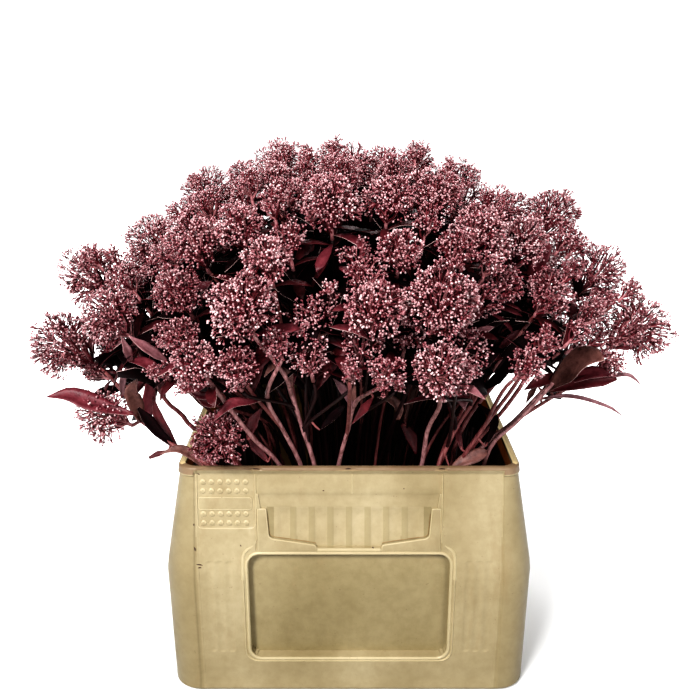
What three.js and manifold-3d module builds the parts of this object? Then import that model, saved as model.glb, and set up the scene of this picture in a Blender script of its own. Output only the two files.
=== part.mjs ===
// A bunch of cut skimmia standing in a moulded plastic flower container.
// Millimetres, +Z up. The origin is the middle of the container's flat underside,
// +X runs along its long side and -Y is the side with the bunch's fullest blooms.
//
// Every stem rises from the container's floor, leans out over the rim and ends
// where it enters its bloom mass. Every bloom mass is one closed uneven solid:
// one to three domed flower heads and the whorl of leaves under them.
import * as THREE from "three";
import { mergeVertices } from "three/addons/utils/BufferGeometryUtils.js";
import Module from "manifold-3d";

const wasm = await Module();
wasm.setup();

// ---------------------------------------------------------------- sizes

// Container: sections from the underside up the outside, over the rim and down
// the inside to the floor. Half length, half width, corner radius, height.
const HEIGHT = 280;
const FLOOR = 5;
const WALL = 3.5;
const OUTSIDE = [
  [203, 157, 30, 0],
  [206, 160, 32, 4],
  [208, 162, 34, 154],
  [187.5, 144, 17, 269],
  [189, 145.5, 18, 270.5],
  [188, 144.5, 17, 278.5],
  [186, 142.5, 15, HEIGHT],
];
const INSIDE = [
  [178, 134.5, 24, HEIGHT],
  [176, 132.5, 22, 276],
  [177, 133.5, 22, 271],
  [184.3, 140.8, 22, 266],
  [208 - WALL, 162 - WALL, 31, 153],
  [202, 156, 28, FLOOR + 4],
  [198, 152, 25, FLOOR],
];
const CORNER_STEPS = 4;
const PANEL = { long: 225, short: 150, low: 46, high: 180, round: 13, depth: 13 };
const CARD = { wide: 200, low: 188, high: 257, depth: 2.5 };

// Crown: the flower heads lie near half an ellipsoid about a throat in the
// mouth of the container. A head is [azimuth, tilt from the vertical, reach as
// a share of the ellipsoid, radius], in degrees and millimetres.
const THROAT = new THREE.Vector3(0, 0, 270);
const DOME = new THREE.Vector3(352, 290, 324);
// A head's own axis leans back towards the vertical, more so on the upper heads.
const UPRIGHT = { upper: 0.45, lower: 0.3, from: 45, to: 70 };
const GAP = 0.5;
const PUFF = 1.04;
const HEAD_SIDES = 7;
const HEAD_BANDS = 4;
const LUMP = 0.08;

// Bloom masses: name, whether a main stem of its own is modelled, its heads.
const BLOOMS = [
  ["front_1", true, [[-68.4, 47.4, 1.02, 37.4]]],
  ["front_2", true, [[-84.5, 48.3, 1.05, 29.1]]],
  ["front_3", true, [[-113.2, 49.5, 1.06, 33.1], [-112.2, 39.6, 1.03, 26.6]]],
  ["front_4", true, [[-98.1, 24.0, 1.0, 32.1]]],
  ["front_5", false, [[-73.1, 34.5, 0.97, 24.4]]],
  ["front_6", true, [[-70.4, 58.4, 0.98, 27.9]]],
  ["front_7", false, [[-82.1, 57.9, 0.96, 20.4], [-89.8, 57.5, 1.0, 13.7]]],
  ["front_8", false, [[-106.8, 53.2, 0.95, 17.9], [-116.6, 58.2, 0.93, 22.9]]],
  ["front_9", true, [[-124.8, 59.7, 0.96, 25.9]]],
  ["front_10", false, [[-133.6, 48.8, 1.0, 27.5], [-129.7, 55.7, 0.98, 21.3]]],
  ["front_11", false, [[-142.4, 38.2, 0.98, 29.8], [-134.3, 31.4, 0.96, 26.7]]],
  ["front_12", false, [[-132.8, 19.4, 0.93, 25.6]]],
  ["front_13", false, [[-43.8, 22.6, 0.98, 31.6], [-67.9, 20.3, 0.97, 27.9]]],
  ["front_14", false, [[-40.7, 33.9, 0.97, 28.8]]],
  ["left_1", true, [[-173.1, 70.8, 1.01, 39.6]]],
  ["left_2", true, [[180.0, 58.3, 1.03, 36.7]]],
  ["left_3", false, [[175.0, 46.2, 0.95, 35.8]]],
  ["left_4", true, [[-152.3, 59.0, 0.97, 34.6]]],
  ["left_5", true, [[-157.7, 78.7, 0.87, 31.0]]],
  ["left_6", true, [[-132.7, 76.2, 0.67, 30.9]]],
  ["left_7", false, [[160.6, 33.8, 0.99, 32.9], [150.7, 26.5, 0.99, 28.2]]],
  ["right_1", true, [[-5.2, 67.6, 1.04, 43.2], [-11.3, 71.5, 0.93, 20.6]]],
  ["right_2", true, [[0.0, 56.8, 1.01, 40.2]]],
  ["right_3", true, [[7.1, 43.8, 1.05, 39.4], [11.8, 37.1, 0.98, 28.9]]],
  ["right_4", false, [[-23.9, 40.0, 0.95, 30.1]]],
  ["right_5", false, [[-26.1, 50.9, 0.92, 28.8], [-36.6, 43.7, 0.88, 25.1]]],
  ["right_6", false, [[-43.3, 58.2, 0.98, 17.8], [-46.2, 61.3, 0.92, 20.9]]],
  ["top_1", false, [[142.9, 17.4, 1.04, 21.7], [157.7, 9.5, 0.98, 20.9]]],
  ["top_2", false, [[107.4, 13.1, 1.01, 21.9], [76.7, 7.4, 0.99, 21.3]]],
  ["top_3", false, [[54.8, 13.5, 0.98, 21.7], [26.5, 16.0, 1.01, 22.5]]],
  ["top_4", false, [[16.7, 25.3, 1.0, 26.2]]],
  ["top_5", false, [[-100, 9.5, 0.965, 26.0], [-172, 15.5, 0.955, 25.0]]],
  ["top_6", false, [[-25, 10.5, 0.965, 26.0], [-18, 21.0, 0.95, 24.0]]],
];

// The far side follows a rule: rings of masses, three heads to a mass.
const FAR_RINGS = [
  { tilt: 32, azimuths: [52, 90, 128], radius: 33 },
  { tilt: 54, azimuths: [33, 70, 110, 149], radius: 35 },
  { tilt: 74, azimuths: [42, 90, 139], radius: 35 },
];
const FAR_SPREAD = 9.5;
const FAR_STEMS = new Set([4, 9]);

// Stems: radius at the cut foot and where they enter the blooms, sides, steps.
// The more a bloom is tilted, the nearer the rim its stem leaves the container:
// the two ellipses give that place, on the floor and in the mouth. MOUTHS holds
// the stems that lean on the rim elsewhere.
const STEM = { foot: 3.6, top: 2.8, sides: 6, steps: 8 };
const FOOT_REACH = [112, 82];
const MOUTH_REACH = [158, 114];
const REACH_POWER = 0.7;
const LOWEST_TILT = 79;
const MOUTHS = {
  left_4: [-157, -68, 287],
  left_5: [-161, -114, 287],
  right_1: [162, -84, 286],
  right_2: [156, -52, 282],
  right_3: [136, -40, 280],
};

const FINISH = {
  container: [0xd8c295, 0.55, 0],
  stem: [0x6f4541, 0.5, 0.1],
  bloom: [0x7d4a50, 0.55, 0.1],
};

// ---------------------------------------------------------------- helpers

const DEG = Math.PI / 180;

// Repeatable random numbers from 0 to 1.
function dice(seed) {
  let s = seed >>> 0;
  return () => {
    s = (s + 0x6d2b79f5) >>> 0;
    let t = Math.imul(s ^ (s >>> 15), 1 | s);
    t = (t + Math.imul(t ^ (t >>> 7), 61 | t)) ^ t;
    return ((t ^ (t >>> 14)) >>> 0) / 4294967296;
  };
}

function solid(geometry) {
  const bare = geometry.clone();
  for (const name of Object.keys(bare.attributes))
    if (name !== "position") bare.deleteAttribute(name);
  const joined = mergeVertices(bare, 1e-4);
  return new wasm.Manifold(
    new wasm.Mesh({
      numProp: 3,
      vertProperties: joined.attributes.position.array,
      triVerts: new Uint32Array(joined.index.array),
    }),
  );
}

function meshOf(body, name, finish) {
  const m = body.getMesh();
  const flat = new Float32Array(m.numVert * 3);
  for (let i = 0; i < m.numVert; i++)
    for (let k = 0; k < 3; k++)
      flat[i * 3 + k] = m.vertProperties[i * m.numProp + k];
  const geometry = new THREE.BufferGeometry();
  geometry.setAttribute("position", new THREE.BufferAttribute(flat, 3));
  geometry.setIndex(new THREE.BufferAttribute(new Uint32Array(m.triVerts), 1));
  geometry.computeVertexNormals();
  const [color, roughness, metalness] = finish;
  const mesh = new THREE.Mesh(
    geometry,
    new THREE.MeshStandardMaterial({ color, roughness, metalness }),
  );
  mesh.name = name;
  return mesh;
}

// ---------------------------------------------------------------- container

// A lathe gives the closed skin, and each of its rings is laid on a rounded
// rectangle.
function shell(sections, last) {
  const rings = [[0, 0, 0, sections[0][3]], ...sections, [0, 0, 0, last]];
  const around = 4 * (CORNER_STEPS + 1);
  const g = new THREE.LatheGeometry(
    rings.map(([hx, , , z]) => new THREE.Vector2(hx ? 1 : 0, z)),
    around,
  );
  const p = g.attributes.position;
  for (let v = 0; v < p.count; v++) {
    const [hx, hy, r, z] = rings[v % rings.length];
    const step = Math.floor(v / rings.length) % around;
    const corner = Math.floor(step / (CORNER_STEPS + 1));
    const turn =
      (corner + (step % (CORNER_STEPS + 1)) / CORNER_STEPS) * 90 * DEG;
    const sx = corner === 0 || corner === 3 ? 1 : -1;
    const sy = corner < 2 ? 1 : -1;
    if (hx === 0) p.setXYZ(v, 0, 0, z);
    else
      p.setXYZ(
        v,
        sx * (hx - r) + r * Math.cos(turn),
        sy * (hy - r) + r * Math.sin(turn),
        z,
      );
  }
  return g;
}

function roundedBox(wide, high, deep, round, curveSegments) {
  const s = new THREE.Shape();
  const w = wide / 2,
    h = high / 2;
  s.moveTo(-w + round, -h);
  s.lineTo(w - round, -h);
  s.absarc(w - round, -h + round, round, -90 * DEG, 0);
  s.lineTo(w, h - round);
  s.absarc(w - round, h - round, round, 0, 90 * DEG);
  s.lineTo(-w + round, h);
  s.absarc(-w + round, h - round, round, 90 * DEG, 180 * DEG);
  s.lineTo(-w, -h + round);
  s.absarc(-w + round, -h + round, round, 180 * DEG, 270 * DEG);
  const g = new THREE.ExtrudeGeometry(s, {
    depth: deep,
    bevelEnabled: false,
    curveSegments,
  });
  g.rotateX(90 * DEG); // wide along X, high along Z, deep towards -Y
  return g;
}

// The sunk panel of one side, grown by the wall's thickness for the inside.
function sunkPanel(side, grow) {
  const long = side === "front" || side === "back";
  const wide = (long ? PANEL.long : PANEL.short) + 2 * grow;
  const high = PANEL.high - PANEL.low + 2 * grow;
  const g = roundedBox(wide, high, 60, PANEL.round + grow, 2);
  const plane = (long ? OUTSIDE[2][1] : OUTSIDE[2][0]) - PANEL.depth - grow;
  g.translate(0, -plane, (PANEL.high + PANEL.low) / 2);
  g.rotateZ({ front: 0, right: 90, back: 180, left: 270 }[side] * DEG);
  return solid(g);
}

function cardPocket(side) {
  const high = CARD.high - CARD.low;
  const [, y0, , z0] = OUTSIDE[2];
  const [, y1, , z1] = OUTSIDE[3];
  const slope = Math.atan2(y0 - y1, z1 - z0);
  const mid = (CARD.high + CARD.low) / 2;
  const g = roundedBox(CARD.wide, high, 40, 4, 1);
  g.translate(0, CARD.depth, 0);
  g.rotateX(-slope);
  g.translate(0, -(y0 + ((y1 - y0) * (mid - z0)) / (z1 - z0)), mid);
  if (side === "back") g.rotateZ(180 * DEG);
  return solid(g);
}

function container() {
  let outer = solid(shell(OUTSIDE, HEIGHT));
  let inner = solid(
    shell(
      [...INSIDE].reverse().concat([[INSIDE[0][0], INSIDE[0][1], INSIDE[0][2], HEIGHT + 5]]),
      HEIGHT + 5,
    ),
  );
  for (const side of ["front", "right", "back", "left"]) {
    outer = outer.subtract(sunkPanel(side, 0));
    inner = inner.subtract(sunkPanel(side, WALL));
  }
  for (const side of ["front", "back"]) outer = outer.subtract(cardPocket(side));
  return outer.subtract(inner);
}

// ---------------------------------------------------------------- blooms

function headPlace([azimuth, tilt, reach]) {
  const a = azimuth * DEG,
    t = tilt * DEG;
  const d = new THREE.Vector3(
    Math.sin(t) * Math.cos(a),
    Math.sin(t) * Math.sin(a),
    Math.cos(t),
  );
  const far = reach / Math.hypot(d.x / DOME.x, d.y / DOME.y, d.z / DOME.z);
  const at = d.clone().multiplyScalar(far).add(THROAT);
  const low = THREE.MathUtils.clamp((tilt - UPRIGHT.from) / (UPRIGHT.to - UPRIGHT.from), 0, 1);
  const lift = THREE.MathUtils.lerp(UPRIGHT.upper, UPRIGHT.lower, low);
  const axis = d.clone().lerp(new THREE.Vector3(0, 0, 1), lift).normalize();
  return { at, axis };
}

// An uneven ball: lumps come from a few waves with phases of their own. The
// side away from its axis is drawn in, as a flower head's underside is.
function lumpyBall(at, axis, radius, flat, seed, grow, round) {
  const roll = dice(seed);
  const waves = Array.from({ length: 5 }, () => ({
    d: new THREE.Vector3(roll() - 0.5, roll() - 0.5, roll() - 0.5)
      .normalize()
      .multiplyScalar(2.2 + 2.4 * roll()),
    p: roll() * 6.283,
  }));
  const g = mergeVertices(
    (() => {
      const ball = round
        ? new THREE.SphereGeometry(1, HEAD_SIDES, HEAD_BANDS).rotateX(90 * DEG)
        : new THREE.IcosahedronGeometry(1, 0);
      ball.deleteAttribute("normal");
      ball.deleteAttribute("uv");
      return ball;
    })(),
    1e-4,
  );
  const p = g.attributes.position;
  const turn = new THREE.Quaternion().setFromUnitVectors(
    new THREE.Vector3(0, 0, 1),
    axis,
  );
  const v = new THREE.Vector3();
  for (let i = 0; i < p.count; i++) {
    v.fromBufferAttribute(p, i).normalize();
    let n = 0;
    for (const w of waves) n += Math.sin(v.dot(w.d) + w.p);
    const r = radius * (1 + (LUMP * n) / 2.2) + grow;
    v.multiplyScalar(r);
    v.z *= v.z < 0 ? flat : 0.96;
    v.applyQuaternion(turn).add(at);
    p.setXYZ(i, v.x, v.y, v.z);
  }
  return solid(g);
}

function bloom(heads, seed, grow) {
  const places = heads.map((h) => ({ ...headPlace(h), r: h[3] }));
  let body = null;
  places.forEach((h, i) => {
    const ball = lumpyBall(h.at, h.axis, h.r * PUFF, 0.8, seed * 31 + i, grow, true);
    body = body ? body.add(ball) : ball;
  });
  // The whorl of leaves sits under the heads and joins them.
  const mid = new THREE.Vector3(),
    axis = new THREE.Vector3();
  let r = 0,
    apart = 0;
  for (const h of places) {
    mid.add(h.at);
    axis.add(h.axis);
    r += h.r / places.length;
  }
  mid.divideScalar(places.length);
  axis.normalize();
  for (const h of places) apart = Math.max(apart, h.at.distanceTo(mid));
  const wide = Math.max(0.95 * r, apart * 0.85);
  mid.addScaledVector(axis, -0.72 * r);
  const whorl = lumpyBall(mid, axis, wide, 1.25, seed * 31 + 17, grow, false);
  return body.add(whorl);
}

function largest(body) {
  return body.decompose().reduce((a, b) => (b.volume() > a.volume() ? b : a));
}

// ---------------------------------------------------------------- stems

function stemCurve(name, heads) {
  const at = new THREE.Vector3(),
    axis = new THREE.Vector3();
  let r = 0;
  for (const h of heads) {
    const p = headPlace(h);
    at.add(p.at);
    axis.add(p.axis);
    r += h[3];
  }
  at.divideScalar(heads.length);
  axis.normalize();
  r /= heads.length;
  const out = at.clone().sub(THROAT);
  const share = out.angleTo(new THREE.Vector3(0, 0, 1)) / (LOWEST_TILT * DEG);
  const side = new THREE.Vector2(out.x, out.y)
    .normalize()
    .multiplyScalar(Math.pow(share, REACH_POWER));
  const foot = new THREE.Vector3(side.x * FOOT_REACH[0], side.y * FOOT_REACH[1], FLOOR + 0.4);
  const rim = new THREE.Vector3(
    side.x * MOUTH_REACH[0],
    side.y * MOUTH_REACH[1],
    HEIGHT - 14 + 18 * share * share,
  );
  if (MOUTHS[name]) rim.fromArray(MOUTHS[name]);
  const neck = at.clone().addScaledVector(axis, -1.9 * r);
  return new THREE.CatmullRomCurve3(
    [foot, foot.clone().lerp(rim, 0.5).add(new THREE.Vector3(0, 0, 12)), rim, neck, at],
    false,
    "centripetal",
  );
}

// A cylinder's rings are laid square to the curve, and taper along it. The foot
// is cut level.
function stemSolid(name, heads) {
  const curve = stemCurve(name, heads);
  const g = new THREE.CylinderGeometry(1, 1, 1, STEM.sides, STEM.steps);
  const p = g.attributes.position;
  const frames = curve.computeFrenetFrames(STEM.steps, false);
  for (let i = 0; i < p.count; i++) {
    const t = p.getY(i) + 0.5;
    const k = Math.round(t * STEM.steps);
    const c = curve.getPointAt(k / STEM.steps);
    const r = STEM.foot + (STEM.top - STEM.foot) * t;
    const x = p.getX(i),
      y = p.getZ(i);
    const v = c
      .clone()
      .addScaledVector(frames.normals[k], -x * r)
      .addScaledVector(frames.binormals[k], y * r);
    if (k === 0) v.z = c.z;
    p.setXYZ(i, v.x, v.y, v.z);
  }
  let s = solid(g);
  return s;
}

// ---------------------------------------------------------------- assembly

function farBlooms() {
  const out = [];
  let n = 0;
  for (const ring of FAR_RINGS)
    for (const azimuth of ring.azimuths) {
      const roll = dice(900 + n);
      const heads = [0, 1, 2].map((i) => {
        const turn = (i * 120 + roll() * 50 + 20) * DEG;
        return [
          azimuth + (FAR_SPREAD * Math.cos(turn)) / Math.sin(ring.tilt * DEG),
          Math.min(80, ring.tilt + FAR_SPREAD * 0.85 * Math.sin(turn)),
          0.95 + 0.09 * roll(),
          ring.radius * (0.88 + 0.24 * roll()),
        ];
      });
      n += 1;
      out.push([`back_${n}`, FAR_STEMS.has(n), heads]);
    }
  return out;
}

const group = new THREE.Group();
group.name = "skimmia_in_container";
group.add(meshOf(container(), "container", FINISH.container));

const all = [...BLOOMS, ...farBlooms()];
const grown = [];
all.forEach(([name, , heads], i) => {
  let body = bloom(heads, i + 1, 0);
  const box = body.boundingBox();
  for (const other of grown) {
    const o = other.boundingBox();
    if ([0, 1, 2].every((k) => box.min[k] < o.max[k] && box.max[k] > o.min[k]))
      body = body.subtract(other);
  }
  body = largest(body);
  grown.push(bloom(heads, i + 1, GAP));
  group.add(meshOf(body, `bloom_${name}`, FINISH.bloom));
});

for (const [name, hasStem, heads] of all) {
  if (!hasStem) continue;
  let body = stemSolid(name, heads);
  for (const other of grown) body = body.subtract(other);
  const pieces = body.decompose();
  body = pieces.reduce((a, b) =>
    b.boundingBox().min[2] < a.boundingBox().min[2] ? b : a,
  );
  group.add(meshOf(body, `stem_${name}`, FINISH.stem));
}

export default group;
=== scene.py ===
# A bunch of cut skimmia in a moulded flower container: the visual model round
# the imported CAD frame. Lengths in the tables are millimetres, and every mesh is
# written in metres in the row frame.
import math

import bpy
import numpy as np
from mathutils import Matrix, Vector

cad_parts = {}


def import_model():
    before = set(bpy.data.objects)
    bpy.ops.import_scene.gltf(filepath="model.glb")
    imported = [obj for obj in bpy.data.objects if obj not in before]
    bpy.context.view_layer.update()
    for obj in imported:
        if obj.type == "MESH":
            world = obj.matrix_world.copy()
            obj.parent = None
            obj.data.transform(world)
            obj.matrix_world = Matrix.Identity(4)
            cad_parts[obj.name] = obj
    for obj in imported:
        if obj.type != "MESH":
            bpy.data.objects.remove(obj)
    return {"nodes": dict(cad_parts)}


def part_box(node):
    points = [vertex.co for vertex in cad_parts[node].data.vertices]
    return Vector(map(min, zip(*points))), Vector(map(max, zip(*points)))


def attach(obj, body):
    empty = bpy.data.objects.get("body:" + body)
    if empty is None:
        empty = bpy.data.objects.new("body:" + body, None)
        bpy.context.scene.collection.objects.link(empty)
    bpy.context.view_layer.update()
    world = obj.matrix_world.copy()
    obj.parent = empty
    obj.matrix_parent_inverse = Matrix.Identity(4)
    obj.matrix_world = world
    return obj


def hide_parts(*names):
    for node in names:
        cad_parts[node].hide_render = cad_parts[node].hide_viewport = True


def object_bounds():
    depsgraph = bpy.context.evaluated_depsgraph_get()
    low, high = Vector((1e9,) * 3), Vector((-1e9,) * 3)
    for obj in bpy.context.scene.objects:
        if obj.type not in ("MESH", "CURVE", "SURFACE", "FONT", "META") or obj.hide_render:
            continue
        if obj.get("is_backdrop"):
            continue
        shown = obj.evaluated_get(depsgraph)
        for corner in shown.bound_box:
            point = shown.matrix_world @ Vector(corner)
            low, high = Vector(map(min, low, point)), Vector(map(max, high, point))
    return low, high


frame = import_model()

CAD_BOX = [list(q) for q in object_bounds()]
MM = 0.001
DEG = math.pi / 180

# ------------------------------------------------------------------ the camera
CAM_AT = np.array([0.0, -983.0, 687.0])
CAM_PITCH = 18.0
CAM_FOCUS = 850.0 / 700.0  # focal length as a share of the picture's side

cam_data = bpy.data.cameras.new("camera")
cam_data.sensor_width = 36.0
cam_data.lens = 36.0 * CAM_FOCUS
cam_data.shift_x = 0.0014
cam_data.clip_start, cam_data.clip_end = 0.05, 60.0
camera = bpy.data.objects.new("camera", cam_data)
camera.location = Vector(CAM_AT * MM)
camera.rotation_euler = (math.radians(90.0 - CAM_PITCH), 0.0, 0.0)
bpy.context.scene.collection.objects.link(camera)
bpy.context.scene.camera = camera

FWD = np.array([0.0, math.cos(CAM_PITCH * DEG), -math.sin(CAM_PITCH * DEG)])
UPV = np.array([0.0, math.sin(CAM_PITCH * DEG), math.cos(CAM_PITCH * DEG)])
RGT = np.array([1.0, 0.0, 0.0])


def to_picture(p):
    q = np.asarray(p, float) - CAM_AT
    z = q @ FWD
    return np.stack([349 + 850 * (q @ RGT) / z, 350 - 850 * (q @ UPV) / z], -1), z


def picture_ray(x, y):
    d = FWD + RGT * ((x - 349) / 850) + UPV * ((350 - y) / 850)
    return d / np.linalg.norm(d)


# ------------------------------------------------------- sizes, as in the CAD
HEIGHT = 280.0
FLOOR = 5.0
WALL = 3.5
OUTSIDE = [
    (203, 157, 30, 0),
    (206, 160, 32, 4),
    (208, 162, 34, 154),
    (187.5, 144, 17, 269),
    (189, 145.5, 18, 270.5),
    (188, 144.5, 17, 278.5),
    (186, 142.5, 15, HEIGHT),
]
INSIDE = [
    (182.4, 138.9, 16, HEIGHT),
    (182.0, 138.5, 17, 276),
    (183.0, 139.5, 18, 271),
    (184.3, 140.8, 22, 266),
    (208 - WALL, 162 - WALL, 31, 153),
    (202, 156, 28, FLOOR + 4),
    (198, 152, 25, FLOOR),
]
PANEL = {"long": 225, "short": 150, "low": 46, "high": 180, "round": 13, "depth": 13}

THROAT = np.array([0.0, 0.0, 270.0])
DOME = np.array([352.0, 290.0, 324.0])
BLOOMS = [
    ("front_1", [(-68.4, 47.4, 1.02, 37.4)]),
    ("front_2", [(-84.5, 48.3, 1.05, 29.1)]),
    ("front_3", [(-113.2, 49.5, 1.06, 33.1), (-112.2, 39.6, 1.03, 26.6)]),
    ("front_4", [(-98.1, 24.0, 1.0, 32.1)]),
    ("front_5", [(-73.1, 34.5, 0.97, 24.4)]),
    ("front_6", [(-70.4, 58.4, 0.98, 27.9)]),
    ("front_7", [(-82.1, 57.9, 0.96, 20.4), (-89.8, 57.5, 1.0, 13.7)]),
    ("front_8", [(-106.8, 53.2, 0.95, 17.9), (-116.6, 58.2, 0.93, 22.9)]),
    ("front_9", [(-124.8, 59.7, 0.96, 25.9)]),
    ("front_10", [(-133.6, 48.8, 1.0, 27.5), (-129.7, 55.7, 0.98, 21.3)]),
    ("front_11", [(-142.4, 38.2, 0.98, 29.8), (-134.3, 31.4, 0.96, 26.7)]),
    ("front_12", [(-132.8, 19.4, 0.93, 25.6)]),
    ("front_13", [(-43.8, 22.6, 0.98, 31.6), (-67.9, 20.3, 0.97, 27.9)]),
    ("front_14", [(-40.7, 33.9, 0.97, 28.8)]),
    ("left_1", [(-173.1, 70.8, 1.01, 39.6)]),
    ("left_2", [(180.0, 58.3, 1.03, 36.7)]),
    ("left_3", [(175.0, 46.2, 0.95, 35.8)]),
    ("left_4", [(-155.6, 58.4, 0.97, 33.4)]),
    ("left_5", [(-157.7, 78.7, 0.87, 31.0)]),
    ("left_6", [(-132.7, 76.2, 0.67, 30.9)]),
    ("left_7", [(160.6, 33.8, 0.99, 32.9), (150.7, 26.5, 0.99, 28.2)]),
    ("right_1", [(-5.2, 68.3, 1.04, 43.2), (-11.3, 71.5, 0.93, 20.6)]),
    ("right_2", [(0.0, 56.8, 1.01, 40.2)]),
    ("right_3", [(7.1, 43.8, 1.05, 39.4), (11.8, 37.1, 0.98, 28.9)]),
    ("right_4", [(-23.9, 40.0, 0.95, 30.1)]),
    ("right_5", [(-26.1, 50.9, 0.92, 28.8), (-36.6, 43.7, 0.88, 25.1)]),
    ("right_6", [(-43.3, 58.2, 0.98, 17.8), (-46.2, 61.3, 0.92, 20.9)]),
    ("top_1", [(142.9, 17.4, 1.04, 21.7), (157.7, 9.5, 0.98, 20.9)]),
    ("top_2", [(107.4, 13.1, 1.01, 21.9), (76.7, 7.4, 0.99, 21.3)]),
    ("top_3", [(54.8, 13.5, 0.98, 21.7), (26.5, 16.0, 1.01, 22.5)]),
    ("top_4", [(16.7, 25.3, 1.0, 26.2)]),
    ("top_5", [(-100, 9.5, 0.965, 26.0), (-172, 15.5, 0.955, 25.0)]),
    ("top_6", [(-25, 10.5, 0.965, 26.0), (-18, 21.0, 0.95, 24.0)]),
]
FAR_RINGS = [
    (32, (52, 90, 128), 33),
    (54, (33, 70, 110, 149), 35),
    (74, (42, 90, 139), 35),
]
FAR_SPREAD = 9.5
FOOT_REACH = (112.0, 82.0)
MOUTH_REACH = (158.0, 114.0)
REACH_POWER = 0.7
LOWEST_TILT = 79.0
MOUTHS = {
    "left_4": (-157, -68, 287),
    "left_5": (-163, -124, 275),
    "left_1": (-158, -118, 277),
    "right_1": (162, -84, 286),
    "right_2": (156, -52, 282),
    "right_3": (136, -40, 280),
    "front_9": (-81, -124, 276),
    "front_8": (-56, -124, 276),
    "front_3": (-40, -124, 276),
    "front_7": (-11, -124, 276),
    "front_6": (83, -124, 276),
    "right_5": (102, -122, 276),
    "right_6": (124, -120, 276),
}
# places in the picture that these stems pass on their way up
PASSING = {
    "left_5": [(175, 446), (155, 433), (141, 421)],
    "left_1": [(178, 448), (158, 435), (143, 420), (125, 395), (107, 374)],
    "left_4": [(193, 428), (181, 414), (168, 403), (157, 386)],
    "right_1": [(512, 423), (536, 398), (561, 373)],
    "front_9": [(255, 440), (233, 413)],
    "front_8": [(283, 430), (267, 397)],
    "front_3": [(303, 430), (292, 396), (285, 376)],
    "front_7": [(348, 430), (356, 402)],
    "front_6": [(428, 429), (440, 404)],
    "right_5": [(457, 427), (473, 402), (489, 375)],
    "right_6": [(491, 417), (512, 389)],
}


def dice(seed):
    """The CAD's repeatable random numbers."""
    s = seed & 0xFFFFFFFF
    m = 0xFFFFFFFF
    while True:
        s = (s + 0x6D2B79F5) & m
        t = ((s ^ (s >> 15)) * (1 | s)) & m
        t = ((t + (((t ^ (t >> 7)) * (61 | t)) & m)) & m) ^ t
        yield ((t ^ (t >> 14)) & m) / 4294967296


def far_blooms():
    out, n = [], 0
    for tilt, azimuths, radius in FAR_RINGS:
        for azimuth in azimuths:
            roll = dice(900 + n)
            heads = []
            for i in range(3):
                turn = (i * 120 + next(roll) * 50 + 20) * DEG
                heads.append((
                    azimuth + FAR_SPREAD * math.cos(turn) / math.sin(tilt * DEG),
                    min(80, tilt + FAR_SPREAD * 0.85 * math.sin(turn)),
                    0.95 + 0.09 * next(roll),
                    radius * (0.88 + 0.24 * next(roll)),
                ))
            n += 1
            out.append((f"back_{n}", heads))
    return out


def unit(v):
    v = np.asarray(v, float)
    return v / np.maximum(np.linalg.norm(v, axis=-1, keepdims=True), 1e-12)


def head_place(h):
    a, t = h[0] * DEG, h[1] * DEG
    d = np.array([math.sin(t) * math.cos(a), math.sin(t) * math.sin(a), math.cos(t)])
    at = THROAT + d * h[2] / np.linalg.norm(d / DOME)
    lift = 0.45 - 0.15 * min(1.0, max(0.0, (h[1] - 45) / 25))
    return at, unit(d * (1 - lift) + np.array([0, 0, lift]))


# ------------------------------------------------------------------- mesh tools
class Soup:
    """Triangles of one piece, gathered as arrays."""

    def __init__(self):
        self.v, self.f, self.m, self.n, self.tris = [], [], [], 0, 0

    def add(self, verts, faces, mat=0):
        verts = np.asarray(verts, float).reshape(-1, 3)
        faces = np.asarray(faces, np.int64).reshape(-1, 3)
        self.v.append(verts)
        self.f.append(faces + self.n)
        self.m.append(np.broadcast_to(np.asarray(mat, np.int32), (len(faces),)))
        self.n += len(verts)
        self.tris += len(faces)


def make_piece(name, soup, materials, smooth=True):
    v = np.concatenate(soup.v) * MM
    f = np.concatenate(soup.f)
    m = np.concatenate(soup.m)
    mesh = bpy.data.meshes.new(name)
    mesh.vertices.add(len(v))
    mesh.vertices.foreach_set("co", v.astype(np.float32).ravel())
    mesh.loops.add(len(f) * 3)
    mesh.loops.foreach_set("vertex_index", f.astype(np.int32).ravel())
    mesh.polygons.add(len(f))
    mesh.polygons.foreach_set("loop_start", np.arange(0, len(f) * 3, 3, dtype=np.int32))
    for mat in materials:
        mesh.materials.append(mat)
    mesh.polygons.foreach_set("material_index", m.astype(np.int32))
    mesh.polygons.foreach_set("use_smooth", np.full(len(f), smooth, bool))
    mesh.update(calc_edges=True)
    mesh.validate()
    o = bpy.data.objects.new(name, mesh)
    bpy.context.scene.collection.objects.link(o)
    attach(o, "root")
    print(name, len(f), "triangles")
    return o


def basis(d):
    d = unit(d)
    h = np.where(np.abs(d[..., 2:3]) < 0.9, np.array([0.0, 0, 1]), np.array([1.0, 0, 0]))
    a = unit(np.cross(h, d))
    return d, a, np.cross(d, a)


def sticks(soup, p0, p1, r0, r1, sides, mat=0):
    """Straight tapering twigs without end caps, one for each row."""
    p0, p1 = np.asarray(p0, float), np.asarray(p1, float)
    n = len(p0)
    if not n:
        return
    _, a, b = basis(p1 - p0)
    t = np.arange(sides) * 2 * math.pi / sides
    ring = a[:, None] * np.cos(t)[None, :, None] + b[:, None] * np.sin(t)[None, :, None]
    r0 = np.broadcast_to(np.asarray(r0, float), (n,))[:, None, None]
    r1 = np.broadcast_to(np.asarray(r1, float), (n,))[:, None, None]
    v = np.concatenate([p0[:, None] + ring * r0, p1[:, None] + ring * r1], 1)
    i = np.arange(sides)
    j = (i + 1) % sides
    q = np.concatenate([np.stack([i, j, j + sides], 1), np.stack([i, j + sides, i + sides], 1)])
    f = (np.arange(n)[:, None, None] * 2 * sides + q[None]).reshape(-1, 3)
    mat = np.repeat(np.broadcast_to(np.asarray(mat), (n,)), len(q))
    soup.add(v, f, mat)


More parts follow.
